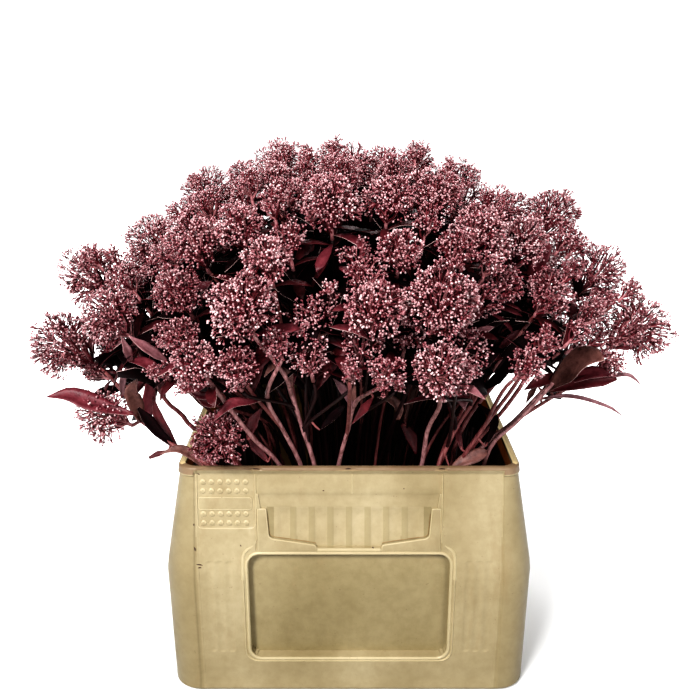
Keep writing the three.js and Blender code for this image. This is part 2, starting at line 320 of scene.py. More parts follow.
def spikes(soup, tip, foot, radius, mat=0):
    """Three-sided pedicels, widest at the bud and closing at the twig."""
    n = len(tip)
    _, a, b = basis(tip - foot)
    t = np.arange(3) * 2 * math.pi / 3
    ring = a[:, None] * np.cos(t)[None, :, None] + b[:, None] * np.sin(t)[None, :, None]
    r = np.broadcast_to(np.asarray(radius, float), (n,))[:, None, None]
    v = np.concatenate([foot[:, None], tip[:, None] + ring * r], 1)
    q = np.array([[0, 1, 2], [0, 2, 3], [0, 3, 1]])[:, ::-1]
    f = (np.arange(n)[:, None, None] * 4 + q[None]).reshape(-1, 3)
    soup.add(v, f, np.repeat(np.broadcast_to(np.asarray(mat), (n,)), 3))


def ico():
    up = [(0.894 * math.cos(k * 72 * DEG), 0.894 * math.sin(k * 72 * DEG), 0.447) for k in range(5)]
    dn = [(0.894 * math.cos((k * 72 + 36) * DEG), 0.894 * math.sin((k * 72 + 36) * DEG), -0.447) for k in range(5)]
    v = np.array([(0, 0, 1.0)] + up + dn + [(0, 0, -1.0)])
    f = []
    for k in range(5):
        n = (k + 1) % 5
        f.append((0, 1 + k, 1 + n))
        f.append((1 + k, 6 + k, 1 + n))
        f.append((1 + n, 6 + k, 6 + n))
        f.append((11, 6 + n, 6 + k))
    return v, np.array(f)


ICO_V, ICO_F = ico()


def egg():
    """A bud far from view: a ring of five and its two ends."""
    v = np.array([(0, 0, 1.0)] + [(1.02 * math.cos(k * 72 * DEG), 1.02 * math.sin(k * 72 * DEG), 0.12) for k in range(5)] + [(0, 0, -1.0)])
    f = []
    for k in range(5):
        n = (k + 1) % 5
        f += [(0, 1 + k, 1 + n), (6, 1 + n, 1 + k)]
    return v, np.array(f)


EGG_V, EGG_F = egg()


def buds(soup, at, axis, radius, length, spin, mat, small=False):
    n = len(at)
    if not n:
        return
    d, a, b = basis(axis)
    ca, sa = np.cos(spin)[:, None], np.sin(spin)[:, None]
    a, b = a * ca + b * sa, -a * sa + b * ca
    t, q = (EGG_V, EGG_F) if small else (ICO_V.copy(), ICO_F)
    if not small:  # a bud is an egg, wider towards its free end
        t[:, :2] *= (1 + 0.12 * t[:, 2:3])
    v = (
        at[:, None]
        + a[:, None] * t[None, :, 0:1] * radius[:, None, None]
        + b[:, None] * t[None, :, 1:2] * radius[:, None, None]
        + d[:, None] * t[None, :, 2:3] * length[:, None, None]
    )
    f = (np.arange(n)[:, None, None] * len(t) + q[None]).reshape(-1, 3)
    soup.add(v, f, np.repeat(mat, len(q)))


def tube(soup, pts, radii, sides, relief=None, mat=0, cap=True):
    """A round limb along a line of points, with parallel frames."""
    pts = np.asarray(pts, float)
    n = len(pts)
    tan = unit(np.gradient(pts, axis=0))
    _, a, _ = basis(tan[0])
    rings = []
    for k in range(n):
        a = unit(a - tan[k] * (a @ tan[k]))
        b = np.cross(tan[k], a)
        t = np.arange(sides) * 2 * math.pi / sides
        r = np.full(sides, radii[k]) if relief is None else radii[k] * relief[k]
        rings.append(pts[k] + (a * np.cos(t)[:, None] + b * np.sin(t)[:, None]) * r[:, None])
    v = np.concatenate(rings)
    i = np.arange(sides)
    j = (i + 1) % sides
    q = np.concatenate([np.stack([i, j, j + sides], 1), np.stack([i, j + sides, i + sides], 1)])
    f = (np.arange(n - 1)[:, None, None] * sides + q[None]).reshape(-1, 3)
    if cap:
        v = np.concatenate([v, pts[:1], pts[-1:]])
        c0, c1 = n * sides, n * sides + 1
        base = (n - 1) * sides
        f = np.concatenate([f, np.stack([np.full(sides, c0), j, i], 1), np.stack([np.full(sides, c1), base + i, base + j], 1)])
    soup.add(v, f, mat)


def catmull(points, n, alpha=0.5):
    """A centripetal Catmull-Rom curve through the points, at n even steps."""
    p = [np.asarray(q, float) for q in points]
    p = [2 * p[0] - p[1]] + p + [2 * p[-1] - p[-2]]
    out = []
    for k in range(1, len(p) - 2):
        t = [0.0]
        for q in range(3):
            t.append(t[-1] + np.linalg.norm(p[k + q] - p[k - 1 + q]) ** alpha)
        for u in np.linspace(t[1], t[2], 40, endpoint=False):
            a1 = p[k - 1] * (t[1] - u) / (t[1] - t[0]) + p[k] * (u - t[0]) / (t[1] - t[0])
            a2 = p[k] * (t[2] - u) / (t[2] - t[1]) + p[k + 1] * (u - t[1]) / (t[2] - t[1])
            a3 = p[k + 1] * (t[3] - u) / (t[3] - t[2]) + p[k + 2] * (u - t[2]) / (t[3] - t[2])
            b1 = a1 * (t[2] - u) / (t[2] - t[0]) + a2 * (u - t[0]) / (t[2] - t[0])
            b2 = a2 * (t[3] - u) / (t[3] - t[1]) + a3 * (u - t[1]) / (t[3] - t[1])
            out.append(b1 * (t[2] - u) / (t[2] - t[1]) + b2 * (u - t[1]) / (t[2] - t[1]))
    out.append(p[-2])
    out = np.array(out)
    s = np.concatenate([[0], np.cumsum(np.linalg.norm(np.diff(out, axis=0), axis=1))])
    want = np.linspace(0, s[-1], n)
    return np.stack([np.interp(want, s, out[:, k]) for k in range(3)], 1)


# -------------------------------------------------------------------- materials
def srgb(r, g, b):
    out = []
    for c in (r, g, b):
        c = c / 255
        out.append(c / 12.92 if c <= 0.04045 else ((c + 0.055) / 1.055) ** 2.4)
    return tuple(out) + (1.0,)


def material(name, dark, light, rough, scale=120.0, detail=4.0, bump=0.2, bump_scale=400.0,
             distance=0.0004, coat=0.0, sheen=0.0, specular=0.5, rough_span=0.12, stretch=(1, 1, 1), lo=0.32, hi=0.68):
    """A plain tint that wanders between two shades, with fine grain."""
    m = bpy.data.materials.new(name)
    m.use_nodes = True
    nt = m.node_tree
    nt.nodes.clear()
    out = nt.nodes.new("ShaderNodeOutputMaterial")
    bs = nt.nodes.new("ShaderNodeBsdfPrincipled")
    nt.links.new(bs.outputs[0], out.inputs[0])
    tc = nt.nodes.new("ShaderNodeTexCoord")
    mp = nt.nodes.new("ShaderNodeMapping")
    mp.inputs["Scale"].default_value = stretch
    nt.links.new(tc.outputs["Object"], mp.inputs[0])
    n1 = nt.nodes.new("ShaderNodeTexNoise")
    n1.inputs["Scale"].default_value = scale
    n1.inputs["Detail"].default_value = detail
    n1.inputs["Roughness"].default_value = 0.6
    nt.links.new(mp.outputs[0], n1.inputs["Vector"])
    ramp = nt.nodes.new("ShaderNodeValToRGB")
    ramp.color_ramp.elements[0].position = lo
    ramp.color_ramp.elements[1].position = hi
    ramp.color_ramp.elements[0].color = dark
    ramp.color_ramp.elements[1].color = light
    nt.links.new(n1.outputs["Fac"], ramp.inputs[0])
    nt.links.new(ramp.outputs[0], bs.inputs["Base Color"])
    rr = nt.nodes.new("ShaderNodeMapRange")
    rr.inputs["To Min"].default_value = rough - rough_span / 2
    rr.inputs["To Max"].default_value = rough + rough_span / 2
    nt.links.new(n1.outputs["Fac"], rr.inputs[0])
    nt.links.new(rr.outputs[0], bs.inputs["Roughness"])
    if bump:
        n2 = nt.nodes.new("ShaderNodeTexNoise")
        n2.inputs["Scale"].default_value = bump_scale
        n2.inputs["Detail"].default_value = 3.0
        nt.links.new(mp.outputs[0], n2.inputs["Vector"])
        bp = nt.nodes.new("ShaderNodeBump")
        bp.inputs["Strength"].default_value = bump
        bp.inputs["Distance"].default_value = distance
        nt.links.new(n2.outputs["Fac"], bp.inputs["Height"])
        nt.links.new(bp.outputs[0], bs.inputs["Normal"])
    bs.inputs["Specular IOR Level"].default_value = specular
    bs.inputs["Coat Weight"].default_value = coat
    bs.inputs["Coat Roughness"].default_value = 0.25
    bs.inputs["Sheen Weight"].default_value = sheen
    return m


BUD_TINTS = [
    material("bud_rose", srgb(182, 131, 135), srgb(220, 177, 180), 0.34, 500, 2, 0.0, coat=0.38, specular=0.8),
    material("bud_dusk", srgb(148, 84, 92), srgb(188, 126, 132), 0.34, 500, 2, 0.0, coat=0.38, specular=0.8),
    material("bud_wine", srgb(104, 34, 45), srgb(142, 62, 72), 0.32, 500, 2, 0.0, coat=0.45, specular=0.7),
    material("bud_pale", srgb(228, 188, 190), srgb(250, 224, 225), 0.34, 500, 2, 0.0, coat=0.38, specular=0.8),
    # the near-black bud tint is painted shade, for buds deep in the crown
    material("bud_night", srgb(58, 7, 15), srgb(84, 18, 28), 0.36, 500, 2, 0.0, coat=0.3, specular=0.6),
]
TWIG_TINTS = [
    material("twig_rose", srgb(166, 101, 105), srgb(207, 147, 150), 0.42, 300, 3, 0.2, 900, coat=0.15),
    material("twig_wine", srgb(104, 30, 40), srgb(140, 60, 69), 0.45, 300, 3, 0.2, 900),
    # the near-black twig tint is painted shade, for branchlets inside the heads
    material("twig_night", srgb(44, 3, 9), srgb(64, 10, 18), 0.55, 300, 3, 0.2, 900, specular=0.3),
]
LEAF_TINTS = [
    material("leaf_wine", srgb(60, 13, 19), srgb(98, 36, 42), 0.48, 150, 6, 0.6, 430, 0.0006, specular=0.3, lo=0.3, hi=0.7),
    material("leaf_crimson", srgb(86, 27, 37), srgb(126, 58, 66), 0.46, 150, 6, 0.6, 430, 0.0006, specular=0.35, lo=0.3, hi=0.7),
    material("leaf_rose", srgb(140, 86, 92), srgb(194, 142, 147), 0.4, 130, 6, 0.6, 430, 0.0006, coat=0.1, lo=0.3, hi=0.7),
    material("leaf_tan", srgb(88, 53, 50), srgb(136, 94, 86), 0.48, 150, 8, 0.8, 430, 0.0007, specular=0.35, lo=0.3, hi=0.7),
    # the near-black leaf tint is painted shade, for leaves in the crown's shadow
    material("leaf_night", srgb(10, 1, 2), srgb(25, 3, 7), 0.65, 200, 4, 0.3, 430, 0.0004, specular=0.08),
    # the pale rim tint is a painted highlight on the leaves' margins
    material("leaf_edge", srgb(200, 160, 156), srgb(232, 200, 196), 0.36, 300, 3, 0.0, coat=0.2),
    material("leaf_mauve", srgb(104, 66, 72), srgb(148, 108, 112), 0.46, 150, 6, 0.6, 430, 0.0006, specular=0.35, lo=0.3, hi=0.7),
]
STEM_TINTS = [
    material("stem_rose", srgb(128, 82, 83), srgb(208, 156, 156), 0.44, 220, 9, 0.8, 420, 0.0007, stretch=(1, 1, 0.22), lo=0.36, hi=0.64, specular=0.4),
    material("stem_wine", srgb(92, 38, 40), srgb(150, 90, 89), 0.46, 220, 9, 0.8, 420, 0.0007, stretch=(1, 1, 0.22), lo=0.36, hi=0.64, specular=0.35),
    # the near-black stem tint is painted shade, for stems inside the crown
    material("stem_night", srgb(14, 2, 3), srgb(40, 9, 11), 0.55, 220, 9, 0.6, 420, 0.0006, stretch=(1, 1, 0.22), specular=0.2),
]


def plastic(name, shades, mottle_low, dirt, rough):
    """Moulded plastic: broad blotches, fine mottling, grey scuffs and specks."""
    m = bpy.data.materials.new(name)
    m.use_nodes = True
    nt = m.node_tree
    bs = nt.nodes["Principled BSDF"]
    tc = nt.nodes.new("ShaderNodeTexCoord")

    def noise(scale, detail, stretch=(1, 1, 1), rough=0.5):
        mp = nt.nodes.new("ShaderNodeMapping")
        mp.inputs["Scale"].default_value = stretch
        nt.links.new(tc.outputs["Object"], mp.inputs[0])
        n = nt.nodes.new("ShaderNodeTexNoise")
        n.inputs["Scale"].default_value = scale
        n.inputs["Detail"].default_value = detail
        n.inputs["Roughness"].default_value = rough
        nt.links.new(mp.outputs[0], n.inputs["Vector"])
        return n.outputs["Fac"]

    def ramp(fac, stops):
        r = nt.nodes.new("ShaderNodeValToRGB")
        e = r.color_ramp.elements
        e[0].position, e[0].color = stops[0]
        e[1].position, e[1].color = stops[-1]
        for q in stops[1:-1]:
            x = e.new(q[0])
            x.color = q[1]
        nt.links.new(fac, r.inputs[0])
        return r.outputs[0]

    def mix(kind, fac, a, b):
        x = nt.nodes.new("ShaderNodeMix")
        x.data_type = "RGBA"
        x.blend_type = kind
        if isinstance(fac, float):
            x.inputs[0].default_value = fac
        else:
            nt.links.new(fac, x.inputs[0])
        for sock, val in ((x.inputs[6], a), (x.inputs[7], b)):
            if isinstance(val, tuple):
                sock.default_value = val
            else:
                nt.links.new(val, sock)
        return x.outputs[2]

    def fade(fac, lo, hi, top):
        r = nt.nodes.new("ShaderNodeMapRange")
        r.inputs["From Min"].default_value = lo
        r.inputs["From Max"].default_value = hi
        r.inputs["To Max"].default_value = top
        nt.links.new(fac, r.inputs[0])
        return r.outputs[0]

    base = ramp(noise(11, 6, (1, 1, 0.6)), [(0.3, shades[0]), (0.5, shades[1]), (0.7, shades[2])])
    base = mix("MULTIPLY", 1.0, base, ramp(noise(75, 7, (1, 1, 1), 0.65), [(0.38, mottle_low), (0.60, (1, 1, 1, 1))]))
    base = mix("MIX", fade(noise(30, 9, (1, 1, 0.3), 0.7), 0.57, 0.72, dirt), base, srgb(146, 124, 88))
    base = mix("MIX", fade(noise(340, 3), 0.70, 0.76, 0.55), base, srgb(112, 90, 62))
    nt.links.new(base, bs.inputs["Base Color"])
    rr = nt.nodes.new("ShaderNodeMapRange")
    rr.inputs["To Min"].default_value = rough - 0.12
    rr.inputs["To Max"].default_value = rough + 0.12
    nt.links.new(noise(46, 6), rr.inputs[0])
    nt.links.new(rr.outputs[0], bs.inputs["Roughness"])
    bp = nt.nodes.new("ShaderNodeBump")
    bp.inputs["Strength"].default_value = 0.3
    bp.inputs["Distance"].default_value = 0.0003
    nt.links.new(noise(700, 3), bp.inputs["Height"])
    bp2 = nt.nodes.new("ShaderNodeBump")
    bp2.inputs["Strength"].default_value = 0.35
    bp2.inputs["Distance"].default_value = 0.0014
    nt.links.new(noise(26, 4), bp2.inputs["Height"])
    nt.links.new(bp.outputs[0], bp2.inputs["Normal"])
    nt.links.new(bp2.outputs[0], bs.inputs["Normal"])
    bs.inputs["Specular IOR Level"].default_value = 0.5
    return m


CREAM = plastic("container_cream", (srgb(149, 134, 100), srgb(164, 149, 116), srgb(179, 165, 133)), (0.90, 0.89, 0.86, 1), 0.4, 0.44)
# the inside tint is darker than the outside: painted shade inside the container
INNER_PAINTED_SHADE = plastic("container_inside", (srgb(104, 78, 48), srgb(120, 92, 58), srgb(136, 108, 70)), (0.8, 0.78, 0.72, 1), 0.5, 0.5)
# the sunk tint is darker: painted shade in the recesses
SUNK_PAINTED_SHADE = plastic("container_sunk", (srgb(134, 120, 85), srgb(147, 133, 98), srgb(160, 146, 112)), (0.88, 0.87, 0.84, 1), 0.45, 0.46)
RIM = plastic("container_rim", (srgb(122, 99, 74), srgb(135, 112, 86), srgb(148, 126, 100)), (0.88, 0.85, 0.82, 1), 0.4, 0.46)
# the posts' tint is darker: painted shade on the corners turned from the light
POSTS_PAINTED_SHADE = plastic("container_posts", (srgb(144, 129, 94), srgb(154, 139, 105), srgb(164, 150, 117)), (0.90, 0.89, 0.86, 1), 0.5, 0.46)
# a darker brown for the line along the lips: painted shade under their edges
LIP_PAINTED_SHADE = plastic("container_grime", (srgb(136, 108, 66), srgb(148, 121, 78), srgb(160, 134, 92)), (0.9, 0.88, 0.84, 1), 0.5, 0.5)
# a lighter tint for ridges, rolls and bevels: painted highlight
RIDGE_PAINTED_HIGHLIGHT = plastic("container_edges", (srgb(175, 160, 124), srgb(185, 170, 135), srgb(196, 182, 147)), (0.95, 0.95, 0.94, 1), 0.15, 0.4)
BAND = plastic("container_bands", (srgb(148, 134, 100), srgb(158, 144, 110), srgb(168, 154, 120)), (0.93, 0.92, 0.90, 1), 0.2, 0.46)
FIELD = plastic("container_fields", (srgb(156, 141, 107), srgb(170, 155, 122), srgb(184, 170, 138)), (0.90, 0.89, 0.86, 1), 0.2, 0.42)
# a lit copy of the plastic that glows: painted glow on the upper inner walls
INNER_WALL_PAINTED_GLOW = plastic("container_inside_lit", (srgb(160, 142, 102), srgb(174, 156, 116), srgb(188, 170, 130)), (0.88, 0.86, 0.80, 1), 0.4, 0.5)
# a lit copy of the rim's plastic that glows: painted glow on the rim beside the posts
RIM_PAINTED_GLOW = plastic("container_rim_lit", (srgb(168, 150, 112), srgb(182, 164, 126), srgb(196, 178, 140)), (0.90, 0.88, 0.84, 1), 0.4, 0.46)
# an amber tint that glows: amber plastic with painted glow on the lower inner walls
AMBER_PAINTED_GLOW = plastic("container_inside_amber", (srgb(96, 60, 34), srgb(112, 72, 42), srgb(128, 86, 52)), (0.8, 0.76, 0.68, 1), 0.4, 0.5)
# these three give off light though they are no lamp: painted glow
for _m, _c, _e in ((INNER_WALL_PAINTED_GLOW, srgb(208, 187, 144), 0.5), (RIM_PAINTED_GLOW, srgb(202, 183, 146), 0.27), (AMBER_PAINTED_GLOW, srgb(108, 56, 22), 0.24)):
    _b = _m.node_tree.nodes["Principled BSDF"]
    _b.inputs["Emission Color"].default_value = _c
    _b.inputs["Emission Strength"].default_value = _e
EAVE = plastic("container_under_rim", (srgb(138, 118, 88), srgb(150, 131, 99), srgb(162, 144, 112)), (0.90, 0.88, 0.85, 1), 0.35, 0.46)
DEBRIS = material("dried_flecks", srgb(44, 26, 20), srgb(92, 62, 44), 0.7, 300, 3, 0.3, 600)

# -------------------------------------------------------------------- container
POST = 168.4  # half width of the panel between the corner posts
POST_Y = 124.5
LEVEL = -1.4  # the panel lies this far inside the posts
BANDS = [-61.2, -40.8, -20.4, 0.0, 20.4, 40.8, 61.2]
WIN = (0.0, (PANEL["low"] + PANEL["high"]) / 2, PANEL["long"] / 2, (PANEL["high"] - PANEL["low"]) / 2, PANEL["round"])


def section(table, z):
    zs = [q[3] for q in table]
    if zs[0] > zs[-1]:
        table, zs = table[::-1], zs[::-1]
    return [float(np.interp(z, zs, [q[k] for q in table])) for k in range(3)]


def ramp01(x):
    x = np.clip(x, 0, 1)
    return x * x * (3 - 2 * x)


def round_box(x, z, cx, cz, hw, hh, r):
    """Signed distance to a rounded rectangle, negative inside."""
    qx, qz = np.abs(x - cx) - (hw - r), np.abs(z - cz) - (hh - r)
    return np.hypot(np.maximum(qx, 0), np.maximum(qz, 0)) + np.minimum(np.maximum(qx, qz), 0) - r


def up(x, at, w=0.7):
    """0 below at, 1 above it, over a ramp of width w."""
    return ramp01((x - at + w / 2) / w)


STICKER = (-135.15, 250.0, 31.35, 39.8, 5.0)  # the sunk field for a label, open at its top
TOP = 277.9  # the panels run up to the rim's bead


def panel_level(z, axis):
    """How far a panel's plane lies from the outline, also beside the rim."""
    full, run = ((162.0, 18.0), (208.0, 20.5))[axis]
    plane = full - (max(z, 154.0) - 154.0) * run / 115.0
    return LEVEL + (plane - section(OUTSIDE, z)[1 - axis] if z > 154 else 0.0)


def long_relief(x, z):
    """Height of a long side's surface over the corner posts' plane, in mm."""
    x, z = float(x), float(z)
    ax = abs(x)
    flat = (1 - up(ax, POST + 0.9, 1.8)) * up(z, 4, 5)
    h = panel_level(z, 0) * flat * up(TOP - z, 4.0, 7.4)
    if z < TOP:
        wide = 1 - up(ax, 98.8, 2.0)
        h = h - 0.8 * wide * (1 - up(z, 248.7, 2.4)) * up(z, 181)
        h = h - 0.8 * up(-round_box(x, z, *STICKER), 0)
        h = h + 1.3 * ramp01((115.5 - ax) / 11.5) * up(ax, 101.6) * ramp01((212 - z) / 8) * up(z, 184)
        inside = 1 - up(ax, 90.6)
        pocket = inside * (1 - up(z, 229.6, 12.4)) * up(z, 188.2)
        band = 0.0
        for c in BANDS:
            band = max(band, 1 - up(abs(x - c), 3.5, 2.2))
        band = max(band, up(ax, 76.5, 2.2))
        h = h + pocket * (-2.5 + 0.8 * band)
        h = h + 1.4 * (1 - up(ax, 35.4)) * (1 - up(z, 188.2)) * up(z, 182.6)
        for c in (131.5, 142.5, 153.5):
            h = h - 0.8 * up(-round_box(ax, z, c, 113, 3.2, 59, 3.2), 0, 1.6)
    w = round_box(x, z, *WIN)
    if w < 0.9:
        h = h * (1 - up(-w, 0.3, 1.2)) - PANEL["depth"] * up(-w, 0.3, 1.2)
    return h


def short_relief(y, z):
    y, z = float(y), float(z)
    ay = abs(y)
    h = panel_level(z, 1) * (1 - up(ay, POST_Y + 0.9, 1.8)) * up(z, 4, 5) * up(TOP - z, 4.0, 7.4)
    if z < TOP:
        h = h - 0.8 * (1 - up(ay, 60)) * (1 - up(z, 248.7)) * up(z, 190)
        for c in (88, 99, 110):
            h = h - 0.8 * up(-round_box(ay, z, c, 113, 3.2, 59, 3.2), 0, 1.6)
    w = round_box(y, z, 0, WIN[1], PANEL["short"] / 2, WIN[3], WIN[4])
    if w < 0.9:
        h = h * (1 - up(-w, 0.3, 1.2)) - PANEL["depth"] * up(-w, 0.3, 1.2)
    return h


def inner_relief(u, z, wide):
    w = round_box(u, z, 0, WIN[1], wide / 2 + WALL, WIN[3] + WALL, WIN[4] + WALL)
    h = -PANEL["depth"] * up(-w, 0.3, 1.2)
    if wide > 200:  # the card holder's back bulges inwards
        h = min(h, -4.6 * up(94.5 - abs(u), 0, 2) * up(z, 184.5, 2) * up(238.0 - z, 0, 2))
    return h


def thin(values, least):
    out = [values[0]]
    for q in values[1:]:
        if q - out[-1] > least:
            out.append(q)
    return out


def both(*values):
    return [q * k for q in values for k in (-1, 1)]


def container():
    xs = both(POST, POST + 0.9, POST + 1.8, 97.8, 98.8, 99.8, 90.25, 90.95, 75.3, 76.5, 77.7, 82.4, 35.05, 35.75, 171.0)
    for c in BANDS:
        xs += [c - 4.7, c - 3.5, c - 2.3, c + 2.3, c + 3.5, c + 4.7]
    for c in (131.5, 142.5, 153.5):
        xs += both(c - 3.2, c - 1.8, c + 1.8, c + 3.2)
    xs += both(101.2, 102.0, 103.4, 104.1, 105.0, 106.4, 108.8, 166.9, 166.1, 165.2, 163.8, 161.4, 115.5, 118)
    xs += both(*np.arange(112.5, 99, -2.0)) + both(113.4, 112.9, 111.6, 95.3, 127)
    xs = np.array(thin(sorted(xs + both(*np.arange(5, 168, 11.0))), 0.55))
    ys = both(POST_Y, POST_Y + 1.8, 127.0, 59.65, 60.35, 0)
    for c in (88, 99, 110):
        ys += both(c - 3.2, c - 1.8, c + 1.8, c + 3.2)
    ys += both(*np.arange(75, 61.5, -2.0)) + both(75.9, 75.4, 80)
    ys = np.array(thin(sorted(ys + both(*np.arange(6, 120, 14.0))), 0.55))
    corner = np.linspace(0, 90, 9)[1:-1]
    cols = [("f", x) for x in xs]
    cols += [("c", -90 + a, 1, -1) for a in corner]
    cols += [("r", y) for y in ys]
    cols += [("c", a, 1, 1) for a in corner]
    cols += [("b", -x) for x in xs]
    cols += [("c", 90 + a, -1, 1) for a in corner]
    cols += [("l", -y) for y in ys]
    cols += [("c", 180 + a, -1, -1) for a in corner]
    zs = [0.0, 0.9, 2.0, 4.0, 6.5, 22, 42]
    zs += list(np.arange(45.1, 60, 2.0)) + [45.6, 46.0]
    zs += [54, 52, 56.8, 64, 90, 120, 150, 163] + list(180 - np.arange(0, 15, 2.0)) + [180.4, 180.9, 179.6, 179.1]
    zs += [172.5, 169, 182.2, 183.0, 187.8, 188.6, 193, 200, 209.8, 210.6, 211.6, 213.2, 215.4, 224, 231.0, 232.6, 234.2, 235.8, 241, 247.5, 248.7, 249.9,
           257, 265, 269.0, 269.8, 270.5, 271.8, 273.6, 275.0, 276.0, 277.0, 277.8, 278.6, 279.3, 280.0]
    zs = thin(sorted(zs), 0.28)

    def ring(table, z, inside, top=0.0):
        hx, hy, r = section(table, z)
        hx, hy = hx - top, hy - top
        out = []
        for c in cols:
            if c[0] in "fb":
                x = c[1] * (hx - r) / 171.0
                k = -1 if c[0] == "f" else 1
                h = inner_relief(c[1], z, PANEL["long"]) if inside else long_relief(-c[1] * k, z)
                notch = 0.0
                if not inside and 276.0 < z < 279:
                    for q in (-101.5, 0.0, 101.5):
                        notch = max(notch, float(up(6.4 - abs(c[1] - q), 0, 1.6)))
                out.append((x, k * (hy + float(h) - 1.6 * notch), z))
            elif c[0] in "rl":
                y = c[1] * (hy - r) / 127.0
                k = 1 if c[0] == "r" else -1
                h = inner_relief(c[1], z, PANEL["short"]) if inside else short_relief(c[1], z)
                out.append((k * (hx + float(h)), y, z))
            else:
                a = c[1] * DEG
                out.append((c[2] * (hx - r) + r * math.cos(a), c[3] * (hy - r) + r * math.sin(a), z))
        return out

    rows = [ring(OUTSIDE, z, False, 0.9 if z == 0 else 0.0) for z in zs]
    outer = len(rows)
    # the rim's flat is a little crowned, then the inner wall goes down
    for z in (280.0, 279.3, 276.0, 273.5, 268.5, 266.0, 239, 237, 187, 185.3, 183.5, 182.7, 181.5, 179.5, 176.0, 170,
              153, 70, 58, 52, 47, 44.6, 43.0, 42.2, 41.2, 9, 6.2, 5.0):
        rows.append(ring(INSIDE, z, True))
    n, k = len(cols), len(rows)
    v = np.array(rows).reshape(-1, 3)
    i = np.arange(n)
    j = (i + 1) % n
    f, m, cell = [], [], []
    # rows on the inside take the darker inside tint: painted shade
    for a in range(k - 1):
        lo, hi = a * n, (a + 1) * n
        c = (v[lo + i] + v[lo + j] + v[hi + i] + v[hi + j]) / 4
        cell += [c, c]
        f += [np.stack([lo + i, lo + j, hi + j], 1), np.stack([lo + i, hi + j, hi + i], 1)]
        m += [1 if a > outer + 4 else 0] * (2 * n)
    # the sunk panels are tinted darker than the rest: painted shade in the recesses
    count = len(v)
    extra = []
    for row, z, flip in ((0, 0.0, True), (k - 1, FLOOR, False)):
        edge = v[row * n:(row + 1) * n]
        prev = row * n + i
        for q in (0.82, 0.5, 0.2):
            extra.append(edge * np.array([q, q, 0]) + np.array([0, 0, z]))
            cur = count + i
            count += n
            pj, cj = np.roll(prev, -1), np.roll(cur, -1)
            a1, a2 = np.stack([prev, pj, cj], 1), np.stack([prev, cj, cur], 1)
            f += [a1[:, ::-1], a2[:, ::-1]] if flip else [a1, a2]
            m += [0 if flip else 1] * (2 * n)
            prev = cur
        extra.append(np.array([[0, 0, z]]))
        a1 = np.stack([prev, np.roll(prev, -1), np.full(n, count)], 1)
        count += 1
        f.append(a1[:, ::-1] if flip else a1)
        m += [0 if flip else 1] * n
    soup = Soup()
    v = np.concatenate([v] + extra)
    f = np.concatenate(f)
    m = np.array(m)
    # the sunk panels' own faces take the darker sunk tint: painted shade
    mid = v[f].mean(1)
    cell = np.concatenate(cell)
    mid[:len(cell)] = cell
    hyz = np.interp(mid[:, 2], [q[3] for q in OUTSIDE], [q[1] for q in OUTSIDE])
    hxz = np.interp(mid[:, 2], [q[3] for q in OUTSIDE], [q[0] for q in OUTSIDE])
    sunk = (m == 0) & (mid[:, 2] > 40) & (mid[:, 2] < 186) & (
        ((np.abs(mid[:, 0]) < 113) & (np.abs(mid[:, 1]) < hyz - 9)) | ((np.abs(mid[:, 1]) < 76) & (np.abs(mid[:, 0]) < hxz - 9)))
    m[sunk] = 2
    # the corner posts take the darker posts tint: painted shade where they turn away from the light
    at_post = (np.abs(mid[:, 0]) > POST + 0.9) & (np.abs(mid[:, 1]) > POST_Y + 0.9)
    m[(m == 0) & at_post & (mid[:, 2] < 269.4)] = 4
    long_side = (np.abs(mid[:, 1]) > hyz - 9) & (m == 0) & (mid[:, 2] > 188.2) & (mid[:, 2] < 233.4) & (np.abs(mid[:, 0]) < 90.5)
    at_band = np.min(np.abs(mid[:, 0, None] * np.sign(-mid[:, 1, None]) - np.array(BANDS)[None]), axis=1) < 3.6
    m[long_side] = 6
    m[long_side & at_band] = 5
    # the fields' outer strips by the lips take the sunk tint: painted shade of the deep slot there
    m[(m == 6) & (np.abs(mid[:, 0]) > 82.4)] = 2
    m[(m != 1) & (mid[:, 2] > 276.0)] = 8
    m[(m != 1) & ((mid[:, 2] > 277.3) | (at_post & (mid[:, 2] > 272.0)))] = 3
    # inside the short ends: the amber painted glow lower down, the paler painted glow above
    beside = (np.abs(mid[:, 0]) > 150) & (np.abs(mid[:, 1]) < 128)
    m[(m == 1) & beside & (mid[:, 2] > 236)] = 10
    m[(m == 1) & beside & (mid[:, 2] > 264)] = 7
    # the rim's inner slope beside the posts takes the paler painted glow too
    m[((m == 3) | (m == 8)) & (np.abs(mid[:, 0]) < hxz - 2.4) & (np.abs(mid[:, 0]) > 170) & (np.abs(mid[:, 1]) < 134)] = 7
    # the rim's top flat beside the posts takes the rim's painted glow
    m[(m == 3) & (np.abs(mid[:, 0]) > 170) & (np.abs(mid[:, 1]) < 134) & (mid[:, 2] > 279)] = 9
    soup.add(v, f, m)
    return soup


def on_wall(side, u, z, h):
    hx, hy, _ = section(OUTSIDE, z)
    if z > 154:
        hx, hy = hx + panel_level(z, 1) - LEVEL, hy + panel_level(z, 0) - LEVEL
    if side == 0:
        return (u, -(hy + h), z)
    if side == 1:
        return (hx + h, u, z)
    if side == 2:
        return (-u, hy + h, z)
    return (-(hx + h), -u, z)


